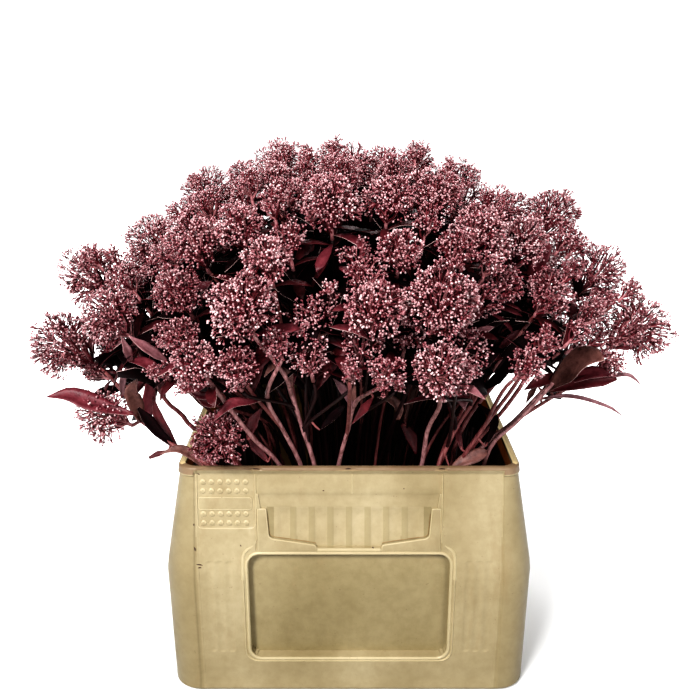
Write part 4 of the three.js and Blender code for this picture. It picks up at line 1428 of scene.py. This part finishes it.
# short cut stems stand among them, their leafy ends lost in the crown; most take the near-black tint, painted shade
for k in range(70):
    a = rng.uniform(0, 6.283)
    q = math.sqrt(rng.uniform(0.02, 1.0))
    mouth = np.array([146 * q * math.cos(a), 84 * q * math.sin(a) + 14, 276.0])
    foot = np.array([105 * q * math.cos(a), 74 * q * math.sin(a), FLOOR + 0.4]) + np.array([*rng.normal(0, 6, 2), 0])
    tip = mouth + np.array([mouth[0] * 0.45, mouth[1] * 0.45, rng.uniform(60, 120)])
    line = catmull([foot, foot * 0.5 + mouth * 0.5 + np.array([*rng.normal(0, 4, 2), 8]), mouth, tip], 16)
    if not shows(line):
        limb(line, 2.6, 1.7, 2 if k > 8 else 1, 4, 5)
# and some low ones stand close along the sides, all in the near-black tint: painted shade
for k in range(44):
    mouth = np.array([(1 if k % 2 else -1) * rng.uniform(112, 160), rng.uniform(-104, 116), rng.uniform(268, 279)])
    foot = np.array([mouth[0] * 0.8, mouth[1] * 0.75, FLOOR + 0.4])
    limb(catmull([foot, foot * 0.5 + mouth * 0.5 + np.array([*rng.normal(0, 4, 2), 0]), mouth], 10), 2.8, 2.2, 2, 0, 5)

# --------------------------------------------------------------------- leaves


def leaves(soup, p0, chord, nrm, width, arch, fold, twist, top, under, edge, steps=8, thick=0.62, wide=5):
    """Closed thin blades: arched along the midrib, folded on it, with rims in their own tint, often the pale painted
    highlight.
    """
    N = len(p0)
    arch = np.where(np.abs(arch) < 0.02, 0.02, arch)
    L = np.linalg.norm(chord, axis=1)
    d = chord / L[:, None]
    n = unit(nrm - (nrm * d).sum(1, keepdims=True) * d)
    side = np.cross(d, n)
    q = np.linspace(0, 1, steps + 1)
    A = arch[:, None]
    arc_len = (L * (arch / 2) / np.sin(arch / 2))[:, None]
    x = arc_len * (np.sin(A / 2) - np.sin(A * (0.5 - q))) / A
    y = arc_len * (np.cos(A * (0.5 - q)) - np.cos(A / 2)) / A
    ctr = p0[:, None] + d[:, None] * x[..., None] + n[:, None] * y[..., None]
    al = A * (0.5 - q)
    nn = n[:, None] * np.cos(al)[..., None] - d[:, None] * np.sin(al)[..., None]
    ss = np.broadcast_to(side[:, None], nn.shape)
    tw = twist[:, None] * q
    ct, st = np.cos(tw)[..., None], np.sin(tw)[..., None]
    nn, ss = nn * ct + ss * st, ss * ct - nn * st
    prof = (q ** 0.95) * (1 - q) ** 0.66
    prof = prof / prof.max()
    prof = np.maximum(prof, np.where(q < 0.5, 0.12, 0.012))
    half = 0.5 * width[:, None] * prof
    c = np.array([-1, -0.55, 0, 0.55, 1.0]) if wide == 5 else np.array([-1, 0, 1.0])
    fo = (fold[:, None] * (1 - 0.45 * q))[..., None]
    lat = c[None, None] * half[..., None]
    wave = 0.06 * half[..., None] * np.sin(q * 13 + 1.7)[None, :, None] * np.abs(c)[None, None] ** 2
    rise = np.abs(lat) * np.sin(fo) * (1.15 - 0.3 * np.abs(c)) + wave
    top_v = ctr[:, :, None] + ss[:, :, None] * (lat * np.cos(fo))[..., None] + nn[:, :, None] * rise[..., None]
    depth = thick * (np.array([0.95, 1.0, 2.3, 1.0, 0.95]) if wide == 5 else np.array([0.95, 2.0, 0.95]))
    low_v = top_v - nn[:, :, None] * depth[None, None, :, None]
    groove = np.zeros(wide)
    groove[wide // 2] = -0.4
    top_v = top_v + nn[:, :, None] * groove[None, None, :, None]
    v = np.concatenate([top_v.reshape(N, -1, 3), low_v.reshape(N, -1, 3)], 1)
    f, which = blade(steps, wide)
    per = (steps + 1) * wide
    pick = np.stack([top, under, edge], 1)
    faces = (np.arange(N)[:, None, None] * (2 * per) + f[None]).reshape(-1, 3)
    soup.add(v, faces, pick[:, which].ravel())


def blade(steps, wide):
    """Faces of a closed blade, and which of its three tints each one takes."""
    per = (steps + 1) * wide
    f, which = [], []
    for j in range(steps):
        for e in range(wide - 1):
            a, b = j * wide + e, j * wide + e + 1
            a2, b2 = a + wide, b + wide
            f += [(a, b, b2), (a, b2, a2), (per + a, per + b2, per + b), (per + a, per + a2, per + b2)]
            which += [0, 0, 1, 1]
        a, a2 = j * wide, (j + 1) * wide
        f += [(a, a2, per + a2), (a, per + a2, per + a)]
        a, a2 = a + wide - 1, a2 + wide - 1
        f += [(per + a2, a2, a), (per + a, per + a2, a)]
        which += [2, 2, 2, 2]
    for e in range(wide - 1):
        a, b = e, e + 1
        f += [(a, per + b, b), (a, per + a, per + b)]
        which += [1, 1]
        a, b = steps * wide + e, steps * wide + e + 1
        f += [(a, b, per + b), (a, per + b, per + a)]
        which += [2, 2]
    return np.array(f), np.array(which)


def ribbon(path, widths, nearer, top, under, facing, start=None, fold=0.4):
    """A blade that follows a line of places in the picture, from the stem there."""
    off = np.linalg.norm(PIX - np.array(path[0]), axis=1)
    depth = DEPTH[int(np.argmin(off + 0.035 * DEPTH))]
    if start is not None:
        ray = picture_ray(*path[0])
        depth = (start - CAM_AT[1]) / ray[1] * (ray @ FWD)
    pts = []
    for q, (x, y) in enumerate(path):
        ray = picture_ray(x, y)
        pts.append(CAM_AT + ray * (depth - nearer * q / (len(path) - 1)) / (ray @ FWD))
    steps = 14
    line = catmull(pts, steps + 1)
    run = np.concatenate([[0], np.cumsum(np.linalg.norm(np.diff(pts, axis=0), axis=1))])
    half = np.interp(np.linspace(0, run[-1], steps + 1), run, widths) * depth / 1700
    d = unit(np.gradient(line, axis=0))
    n = unit(CAM_AT - line) * (1 - facing * 0.75) + np.array([0, 0, 1.0]) * facing
    n = unit(n - (n * d).sum(1, keepdims=True) * d)
    reach = np.linalg.norm(POINTS - line[0], axis=1)
    near_by = POINTS[int(np.argmin(reach))]
    if reach.min() > 5:  # a leaf stalk back to the limb
        tube(stem, catmull([near_by, near_by * 0.5 + line[0] * 0.5 + np.array([0, 0, -0.06 * reach.min()]), line[0], line[1]], 9), np.linspace(1.5, 0.9, 9), 6, mat=1)
    side = np.cross(d, n)
    c = np.array([-1, -0.55, 0, 0.55, 1.0])
    lat = c[None] * half[:, None]
    rise = np.abs(lat) * math.sin(fold) * (1.15 - 0.3 * np.abs(c)) + 0.05 * half[:, None] * np.sin(np.arange(steps + 1) * 0.9)[:, None] * c[None] ** 2
    top_v = line[:, None] + side[:, None] * (lat * math.cos(fold))[..., None] + n[:, None] * rise[..., None]
    low_v = top_v - n[:, None] * (0.62 * np.array([0.95, 1.0, 2.3, 1.0, 0.95]))[None, :, None]
    top_v[:, 2] -= 0.4 * n
    f, which = blade(steps, 5)
    # the ribbon's rims take the pale rim tint: painted highlight
    leaf.add(np.concatenate([top_v.reshape(-1, 3), low_v.reshape(-1, 3)]), f, np.array([top, under, LEAF_RIM_PAINTED_HIGHLIGHT])[which])


rng = np.random.default_rng(31)
WINE, CRIMSON, ROSE, TAN, LEAF_PAINTED_SHADE, LEAF_RIM_PAINTED_HIGHLIGHT, MAUVE = range(7)


def leaf_batch(rows, steps, wide=5):
    """rows: base, chord, normal, width, arch, fold, twist, top, under, edge."""
    if rows:
        c = [np.array(q) for q in zip(*rows)]
        leaves(leaf, *c, steps, wide=wide)


near, plainer, deep, hero = [], [], [], []
CLEAR = [(222, 386, 505, 480), (158, 392, 206, 470), (536, 394, 660, 470), (20, 415, 235, 480), (120, 440, 700, 500), (568, 338, 700, 480), (20, 380, 90, 480), (500, 372, 545, 445)]


def in_the_way(base, chord):
    """True where a leaf would hang before the open fringe at the front."""
    if base[1] > 110:
        return False
    for q in (0.2, 0.4, 0.6, 0.8, 1.0):
        (x, y), _ = to_picture(base + chord * q)
        if any(a < x < c and b < y < d for a, b, c, d in CLEAR):
            return True
    return False


def stands_out(tip):
    """True where a tip would rise over the crown's outline."""
    return tip[2] > 400 and np.linalg.norm((tip - THROAT) / DOME) > 0.97


for k, H in enumerate(heads):
    d, a, b = basis(H.axis)
    high = H.at[2] > 450
    n = {True: 6, False: 5}[H.front] if H.kind == "main" else 4
    if H.r < 22 and H.kind == "main":
        n = 3
    start = rng.uniform(0, 6.283)
    for i in range(n):
        phi = start + i * 2.399963 + rng.normal(0, 0.2)
        beta = rng.uniform(62, 108) * DEG
        out = a * math.cos(phi) + b * math.sin(phi)
        length = rng.uniform(44, 68) * (H.r / 32) ** 0.3
        if high:
            length = min(length, H.r * 1.45)
        base = H.end - H.axis * rng.uniform(-4, 12)
        chord = (d * math.cos(beta) + out * math.sin(beta)) * length
        nrm = d * math.sin(beta) - out * math.cos(beta)
        tip = base + chord
        if tip[2] < 293 or base[2] < 296 or in_the_way(base, chord) or stands_out(tip):
            continue
        # leaves under the lower main heads take the lighter tints and pale rims, the others the near-black tint:
        # painted light and shade
        lit = H.kind == "main" and not high and H.at[2] < 400
        if H.kind == "sprig":
            continue
        q = rng.random()
        if lit:
            top = rng.choice([WINE, CRIMSON, ROSE, TAN], p=[0.46, 0.20, 0.10, 0.24])
        else:
            top = rng.choice([LEAF_PAINTED_SHADE, WINE, CRIMSON], p=[0.45, 0.43, 0.12])
        (near if lit and H.front else plainer).append((base, chord, nrm, length * rng.uniform(0.25, 0.33), rng.uniform(0.25, 1.0), rng.uniform(0.15, 0.65),
                     rng.normal(0, 0.3), top, rng.choice([WINE, TAN]) if lit else LEAF_PAINTED_SHADE, LEAF_RIM_PAINTED_HIGHLIGHT if (lit or q < 0.25) else WINE))
    # leaves along the stem, below the head, mostly near-black: painted shade
    for i in range(3 if H.front else 2):
        j = int(rng.uniform(0.55, 0.93) * (len(H.line) - 1))
        p = H.line[j]
        t = unit(H.line[min(j + 1, len(H.line) - 1)] - H.line[j - 1])
        _, a2, b2 = basis(t)
        phi = rng.uniform(0, 6.283)
        out = a2 * math.cos(phi) + b2 * math.sin(phi)
        beta = rng.uniform(28, 62) * DEG
        length = rng.uniform(48, 74)
        chord = (t * math.cos(beta) + out * math.sin(beta)) * length
        nrm = t * math.sin(beta) - out * math.cos(beta)
        if (p + chord)[2] < 291 or p[2] < 287 or in_the_way(p, chord) or stands_out(p + chord):
            continue
        deep.append((p, chord, nrm, length * rng.uniform(0.26, 0.34), rng.uniform(0.1, 0.8), rng.uniform(0.2, 0.7),
                     rng.normal(0, 0.3), rng.choice([LEAF_PAINTED_SHADE, WINE], p=[0.75, 0.25]), LEAF_PAINTED_SHADE, rng.choice([CRIMSON, LEAF_RIM_PAINTED_HIGHLIGHT, LEAF_PAINTED_SHADE], p=[0.2, 0.35, 0.45])))
# a layer of near-black leaves inside the crown, painted shade: each reaches from a stem to its place on an inner dome
stems_up = [H for H in heads if H.from_k == 0]
INNER_PTS = np.concatenate([H.line[int(STEM_N * 0.42):int(STEM_N * 0.86)] for H in stems_up])
for share, count in ((0.62, 190), (0.76, 330)):
    k = np.arange(count) + 0.5
    cz = 1 - (1 - math.cos(86 * DEG)) * k / count
    for c, ph in zip(cz, k * 2.399963):
        t = math.sqrt(1 - c * c)
        o = np.array([t * math.cos(ph), t * math.sin(ph), c])
        p = THROAT + o * rng.uniform(share - 0.04, share + 0.04) / np.linalg.norm(o / DOME)
        far = np.linalg.norm(INNER_PTS - p, axis=1)
        base = INNER_PTS[int(np.argmin(np.abs(far - 58) + rng.uniform(0, 12, len(far))))]
        chord = unit(p - base) * np.clip(np.linalg.norm(p - base) * 1.15, 52, 84)
        if base[2] < 284 or (base + chord)[2] < 290 or in_the_way(base, chord) or np.linalg.norm((base + chord - THROAT) / DOME) > 0.86:
            continue
        nrm = o if abs(unit(chord) @ o) < 0.9 else unit(np.cross(chord, rng.normal(0, 1, 3)))
        deep.append((base, chord, nrm, np.linalg.norm(chord) * rng.uniform(0.32, 0.40), rng.uniform(0.1, 0.6), rng.uniform(0.05, 0.4),
                     rng.normal(0, 0.3), LEAF_PAINTED_SHADE, LEAF_PAINTED_SHADE, rng.choice([CRIMSON, LEAF_RIM_PAINTED_HIGHLIGHT, LEAF_PAINTED_SHADE], p=[0.15, 0.1, 0.75])))

# more of them hang behind, under the crown's far side, near-black as painted shade
behind = INNER_PTS[(INNER_PTS[:, 1] > 20) & (INNER_PTS[:, 2] < 345)]
for k in range(130):
    p = np.array([rng.uniform(-165, 165), rng.uniform(70, 185), rng.uniform(289, 330)])
    far = np.linalg.norm(behind - p, axis=1)
    base = behind[int(np.argmin(np.abs(far - 50) + rng.uniform(0, 10, len(far))))]
    chord = unit(p - base) * np.clip(np.linalg.norm(p - base) * 1.1, 46, 80)
    if base[2] < 284 or (base + chord)[2] < 288 or in_the_way(base, chord) or shows((base + chord * np.linspace(0.3, 1, 6)[:, None])):
        continue
    deep.append((base, chord, unit(np.array([0, -0.6, 0.8]) + rng.normal(0, 0.3, 3)), np.linalg.norm(chord) * rng.uniform(0.34, 0.42), rng.uniform(0.1, 0.6),
                 rng.uniform(0.05, 0.4), rng.normal(0, 0.3), LEAF_PAINTED_SHADE, LEAF_PAINTED_SHADE, LEAF_PAINTED_SHADE))

# leaves that stand out, each on the stem nearest to where it starts
POINTS = np.concatenate([H.line[H.line[:, 2] > 284] for H in heads])
PIX, DEPTH = to_picture(POINTS)
# the near-black tints among these leaves are painted shade
HEROES = [  # base px, tip px, width px, nearness of the tip (mm), arch, fold, twist, top, under, facing
    ((415, 398), (428, 379), 12, 18, 0.3, 0.3, 0.1, TAN, WINE, 0.3),
    ((455, 350), (494, 327), 12, 24, 0.4, 0.5, 0.2, ROSE, CRIMSON, 0.7),
    ((506, 344), (528, 306), 13, 24, 0.7, 0.5, 0.3, LEAF_PAINTED_SHADE, WINE, 0.1),
    ((514, 345), (530, 331), 9, 26, 0.5, 0.6, 0.2, ROSE, WINE, 0.2),
    ((527, 278), (550, 243), 16, 34, 0.5, 0.3, 0.1, CRIMSON, WINE, 0.05),
    ((482, 212), (493, 191), 10, 20, 0.3, 0.4, 0.1, CRIMSON, WINE, 0.1),
    ((326, 296), (281, 262), 30, 20, 0.5, 0.3, 0.2, LEAF_PAINTED_SHADE, LEAF_PAINTED_SHADE, 0.5),
    ((450, 468), (488, 451), 15, 2, 0.5, 0.4, 0.2, TAN, WINE, 0.4),
    ((497, 352), (520, 330), 9, 18, 0.9, 0.6, 0.4, CRIMSON, WINE, 0.2),
    ((468, 356), (512, 362), 17, 14, 0.9, 0.3, 0.3, LEAF_PAINTED_SHADE, WINE, 0.6),
    ((320, 430), (345, 405), 9, 8, 0.4, 0.5, 0.2, LEAF_PAINTED_SHADE, WINE, 0.3),
]
RIBBONS = [  # places from base to tip, widths, nearness of the tip (mm), top, under, facing
    ([(133, 414), (118, 411), (100, 406), (85, 401), (68, 395), (46, 397)], [4, 11, 20, 23, 17, 0.5], 2, CRIMSON, TAN, 0.5, -124),
    ([(204, 467), (195, 458), (185, 451), (177, 449), (168, 451), (160, 454)], [4, 9, 11, 9, 4, 1], 10, TAN, WINE, 0.3),
    ([(168, 451), (158, 454), (149, 458)], [2, 6.5, 3], 4, WINE, WINE, 0.3),
    ([(168, 362), (155, 354), (142, 346), (129, 336)], [4, 13, 12, 0.5], 34, ROSE, TAN, 0.5, -150),
    ([(131, 362), (127, 350), (121, 336)], [4, 10, 0.5], 34, ROSE, WINE, 0.2, -142),
    ([(131, 361), (142, 362), (152, 368), (155, 377)], [4, 12, 13, 1], 30, CRIMSON, MAUVE, 0.4, -142),
    ([(164, 398), (161, 386), (152, 374)], [4, 9, 2], 42, MAUVE, WINE, 0.2),
    ([(122, 398), (123, 380), (129, 362)], [3, 8, 1], 36, MAUVE, WINE, 0.1),
    ([(143, 420), (136, 405), (132, 391), (137, 379)], [5, 17, 16, 1], 52, TAN, WINE, 0.2),
    ([(147, 422), (149, 402), (150, 386), (146, 372)], [6, 15, 12, 1], 38, CRIMSON, WINE, 0.2),
    ([(176, 446), (166, 432), (157, 414), (153, 396)], [4, 11, 10, 1], 10, WINE, LEAF_PAINTED_SHADE, 0.2),
    ([(172, 444), (158, 432), (148, 420), (138, 408)], [5, 11, 13, 3], 14, LEAF_PAINTED_SHADE, LEAF_PAINTED_SHADE, 0.2),
    ([(264, 399), (250, 402), (232, 404), (213, 421)], [2, 7, 13, 0.5], 30, CRIMSON, WINE, 0.5),
    ([(240, 401), (229, 391), (217, 391), (206, 384)], [4, 9, 9, 0.5], 26, CRIMSON, WINE, 0.7),
    ([(291, 388), (289, 377), (284, 366), (273, 366), (264, 377)], [4, 9, 12, 9, 0.5], 24, TAN, CRIMSON, 0.4),
    ([(291, 387), (297, 367), (313, 355), (331, 351)], [4, 9, 8, 0.5], 18, WINE, TAN, 0.3),
    ([(297, 364), (305, 350), (316, 341), (327, 333)], [3, 10, 11, 1], 16, TAN, WINE, 0.4),
    ([(355, 405), (350, 380), (341, 361), (329, 351)], [3, 11, 10, 0.5], 20, TAN, WINE, 0.2),
    ([(353, 410), (349, 398), (342, 388), (333, 378)], [3, 9, 10, 0.5], 16, MAUVE, WINE, 0.2),
    ([(364, 390), (371, 362), (385, 345), (398, 337)], [4, 13, 12, 1], 24, TAN, WINE, 0.3),
    ([(373, 397), (364, 409), (352, 424)], [2, 10, 0.5], 16, WINE, LEAF_PAINTED_SHADE, 0.2),
    ([(398, 420), (399, 408), (391, 400), (377, 397)], [4, 10, 10, 0.5], 18, TAN, WINE, 0.3),
    ([(405, 422), (411, 405), (421, 386), (436, 388)], [4, 9, 13, 1], 20, TAN, WINE, 0.3),
    ([(402, 424), (411, 437), (416, 454)], [5, 13, 2], 2, WINE, LEAF_PAINTED_SHADE, 0.2),
    ([(468, 398), (446, 396), (424, 398), (404, 404)], [5, 9, 8, 0.5], 40, CRIMSON, WINE, 0.6),
    ([(424, 383), (440, 386), (453, 391), (461, 399), (465, 410)], [5, 11, 15, 15, 0.5], 62, ROSE, CRIMSON, 0.5),
    ([(456, 386), (470, 390), (485, 399)], [5, 12, 0.5], 60, ROSE, CRIMSON, 0.4),
    ([(547, 391), (558, 381), (570, 371), (582, 363), (593, 359), (604, 360)], [4, 15, 28, 33, 26, 2], 74, TAN, ROSE, 0.46),
    ([(550, 391), (566, 387), (585, 383), (603, 381), (617, 379)], [4, 11, 16, 14, 3], 20, WINE, WINE, 0.4),
    ([(556, 386), (576, 377), (596, 373), (616, 376)], [4, 14, 15, 1], 30, CRIMSON, WINE, 0.4),
    ([(541, 399), (553, 397), (567, 396), (581, 398), (598, 403), (613, 409), (622, 416)], [2.5, 4, 5, 5, 4.4, 3.2, 0.5], 20, MAUVE, WINE, 0.5),
    ([(592, 381), (612, 376), (628, 375), (635, 379), (641, 385)], [3, 6, 5, 3, 0.5], 20, MAUVE, WINE, 0.5),
    ([(505, 368), (500, 375), (494, 383), (487, 391)], [3, 9, 8, 0.5], 10, MAUVE, WINE, 0.2),
    ([(562, 377), (550, 379), (537, 383), (524, 390)], [3, 13, 13, 0.5], 16, WINE, WINE, 0.3),
    ([(537, 385), (531, 394), (526, 403)], [3, 7, 0.5], 8, TAN, WINE, 0.2),
    ([(222, 399), (213, 404), (204, 402), (196, 394)], [3, 9, 9, 0.5], 20, WINE, WINE, 0.3),
    ([(214, 392), (206, 396), (198, 395), (189, 389)], [3, 9, 9, 0.5], 8, CRIMSON, LEAF_PAINTED_SHADE, 0.3),
    ([(206, 385), (196, 389), (186, 389), (175, 384)], [3, 8, 8, 0.5], 16, CRIMSON, WINE, 0.3),
    ([(177, 378), (170, 384), (164, 391), (160, 401)], [3, 9, 8, 0.5], 16, WINE, LEAF_PAINTED_SHADE, 0.3),
    ([(152, 372), (146, 378), (140, 386), (136, 395)], [3, 8, 8, 0.5], 10, WINE, LEAF_PAINTED_SHADE, 0.3),
    ([(248, 440), (252, 424), (262, 408)], [3, 14, 2], 4, WINE, LEAF_PAINTED_SHADE, 0.1),
    ([(268, 462), (256, 446), (246, 424)], [3, 13, 2], 2, WINE, LEAF_PAINTED_SHADE, 0.1),
    ([(486, 446), (494, 420), (478, 404)], [3, 11, 2], -30, LEAF_PAINTED_SHADE, LEAF_PAINTED_SHADE, 0.1),
    ([(462, 450), (456, 428), (448, 404)], [3, 10, 2], -20, WINE, LEAF_PAINTED_SHADE, 0.1),
]
for base_px, tip_px, w_px, nearer, arch, fold, twist, top, under, facing in HEROES:
    off = np.linalg.norm(PIX - np.array(base_px), axis=1)
    j = int(np.argmin(off + 0.035 * DEPTH))
    base = POINTS[j]
    depth = (base - CAM_AT) @ FWD
    if off[j] > 6:
        ray = picture_ray(*base_px)
        base = CAM_AT + ray * depth / (ray @ FWD)
        tube(stem, catmull([POINTS[j], POINTS[j] * 0.5 + base * 0.5 - np.array([0, 0, 1.0]), base], 9), np.linspace(1.5, 0.9, 9), 6, mat=1)
    ray = picture_ray(*tip_px)
    depth -= nearer
    tip = CAM_AT + ray * depth / (ray @ FWD)
    to_cam = unit(CAM_AT - (base + tip) / 2)
    nrm = unit(to_cam * (1 - facing * 0.75) + np.array([0, 0, 1.0]) * facing)
    width = w_px * depth / 850
    # every hero leaf has the pale rim tint: painted highlight
    edge = LEAF_RIM_PAINTED_HIGHLIGHT
    hero.append((base, tip - base, nrm, width, arch, fold, twist, top, under, edge))
    print("hero", base_px, "off", round(float(off[j]), 1), "px, long", round(float(np.linalg.norm(tip - base))))
for row in RIBBONS:
    ribbon(*row)
leaf_batch(near, 5)
leaf_batch(plainer, 5, 3)
leaf_batch(deep, 4, 3)
leaf_batch(hero, 14)
print(len(near), len(plainer), len(deep), len(hero), len(RIBBONS), "leaves")

BLOOM_NODES = [n for n in frame["nodes"] if n.startswith("bloom_")]
STEM_NODES = [n for n in frame["nodes"] if n.startswith("stem_")]
for key, soup in bud_soups.items():
    piece = make_piece(key, soup, BUD_TINTS)
    parts = key.split("_")
    for node in BLOOM_NODES:
        if node.split("_")[1] != parts[1]:
            continue
        if len(parts) > 2:
            lo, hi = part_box(node)
            if (lo[0] + hi[0] < 0) != (parts[2] == "a"):
                continue
        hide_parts(node)
sizes = np.cumsum([len(q) for q in twig.f])
cuts = [0] + [int(np.searchsorted(sizes, sizes[-1] * q / 3)) + 1 for q in (1, 2)] + [len(twig.f)]
for n, lo, hi in zip(("twigs_a", "twigs_b", "twigs_c"), cuts[:-1], cuts[1:]):
    part = Soup()
    base = sum(len(q) for q in twig.v[:lo])
    for q in range(lo, hi):
        part.add(twig.v[q], twig.f[q] - base - part.n, twig.m[q])
    make_piece(n, part, TWIG_TINTS)
stem_piece = make_piece("stems", stem, STEM_TINTS)
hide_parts(*STEM_NODES)
make_piece("leaves", leaf, LEAF_TINTS)

# ------------------------------------------------------------- floor and light


def stage_disc(name, radius, z, steps, material_):
    t = np.arange(steps) * 2 * math.pi / steps
    mesh = bpy.data.meshes.new(name)
    mesh.from_pydata([(radius * math.cos(a), radius * math.sin(a), z) for a in t], [], [tuple(range(steps))])
    mesh.materials.append(material_)
    o = bpy.data.objects.new(name, mesh)
    bpy.context.scene.collection.objects.link(o)
    o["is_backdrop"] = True
    return o


def plain(name, colour, rough, glow=0.0):
    m = bpy.data.materials.new(name)
    m.use_nodes = True
    b = m.node_tree.nodes["Principled BSDF"]
    b.inputs["Base Color"].default_value = colour
    b.inputs["Roughness"].default_value = rough
    b.inputs["Specular IOR Level"].default_value = 0.1
    b.inputs["Emission Color"].default_value = (1, 1, 1, 1)
    b.inputs["Emission Strength"].default_value = glow
    return m


pale = plain("floor_pale", (0.88, 0.88, 0.88, 1), 0.9, 1.0)
nt = pale.node_tree
tc = nt.nodes.new("ShaderNodeTexCoord")
far = nt.nodes.new("ShaderNodeVectorMath")
far.operation = "LENGTH"
nt.links.new(tc.outputs["Object"], far.inputs[0])
rise = nt.nodes.new("ShaderNodeMapRange")
rise.interpolation_type = "SMOOTHSTEP"
for key, val in (("From Min", 0.2), ("From Max", 1.1), ("To Min", 0.06), ("To Max", 1.0)):
    rise.inputs[key].default_value = val
nt.links.new(far.outputs["Value"], rise.inputs[0])
nt.links.new(rise.outputs[0], nt.nodes["Principled BSDF"].inputs["Emission Strength"])
floor = stage_disc("floor", 4.5, -0.0002, 96, pale)
bpy.ops.mesh.primitive_uv_sphere_add(segments=48, ring_count=24, radius=9.0, location=(0, 0, 0))
sky = bpy.context.object
sky.name = "backdrop"
sky.data.materials.append(plain("backdrop_white", (0, 0, 0, 1), 1.0, 1.0))
sky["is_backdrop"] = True
for o in (sky, floor):
    o.visible_shadow = False
sky.visible_diffuse = False
sky.visible_glossy = False
sky.visible_transmission = False
floor.visible_diffuse = False

world = bpy.data.worlds.new("world")
bpy.context.scene.world = world
world.use_nodes = True
world.node_tree.nodes["Background"].inputs[0].default_value = (1.0, 1.0, 1.0, 1)
world.node_tree.nodes["Background"].inputs[1].default_value = 0.13


def area(name, at, aim, size, power, colour=(1, 1, 1)):
    d = bpy.data.lights.new(name, "AREA")
    d.shape = "DISK"
    d.size = size
    d.energy = power
    d.color = colour
    o = bpy.data.objects.new(name, d)
    o.location = at
    o.rotation_euler = (Vector(aim) - Vector(at)).to_track_quat("-Z", "Y").to_euler()
    bpy.context.scene.collection.objects.link(o)
    return o


area("key", (-1.0, -2.1, 2.0), (0, 0, 0.4), 0.8, 80)
area("fill", (1.2, -2.4, 1.2), (0, 0, 0.3), 1.2, 27)
area("back", (0.3, 1.9, 2.1), (0, 0, 0.45), 0.9, 30)
area("rear", (-0.9, 2.4, 1.1), (0, 0, 0.25), 1.3, 36)

scene = bpy.context.scene
scene.view_settings.view_transform = "Standard"
scene.view_settings.look = "High Contrast"
scene.view_settings.exposure = 0.0
scene.view_settings.gamma = 1.0

lo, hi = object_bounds()
{"cad": [list(CAD_BOX[0]), list(CAD_BOX[1])], "visual": [list(lo), list(hi)]}
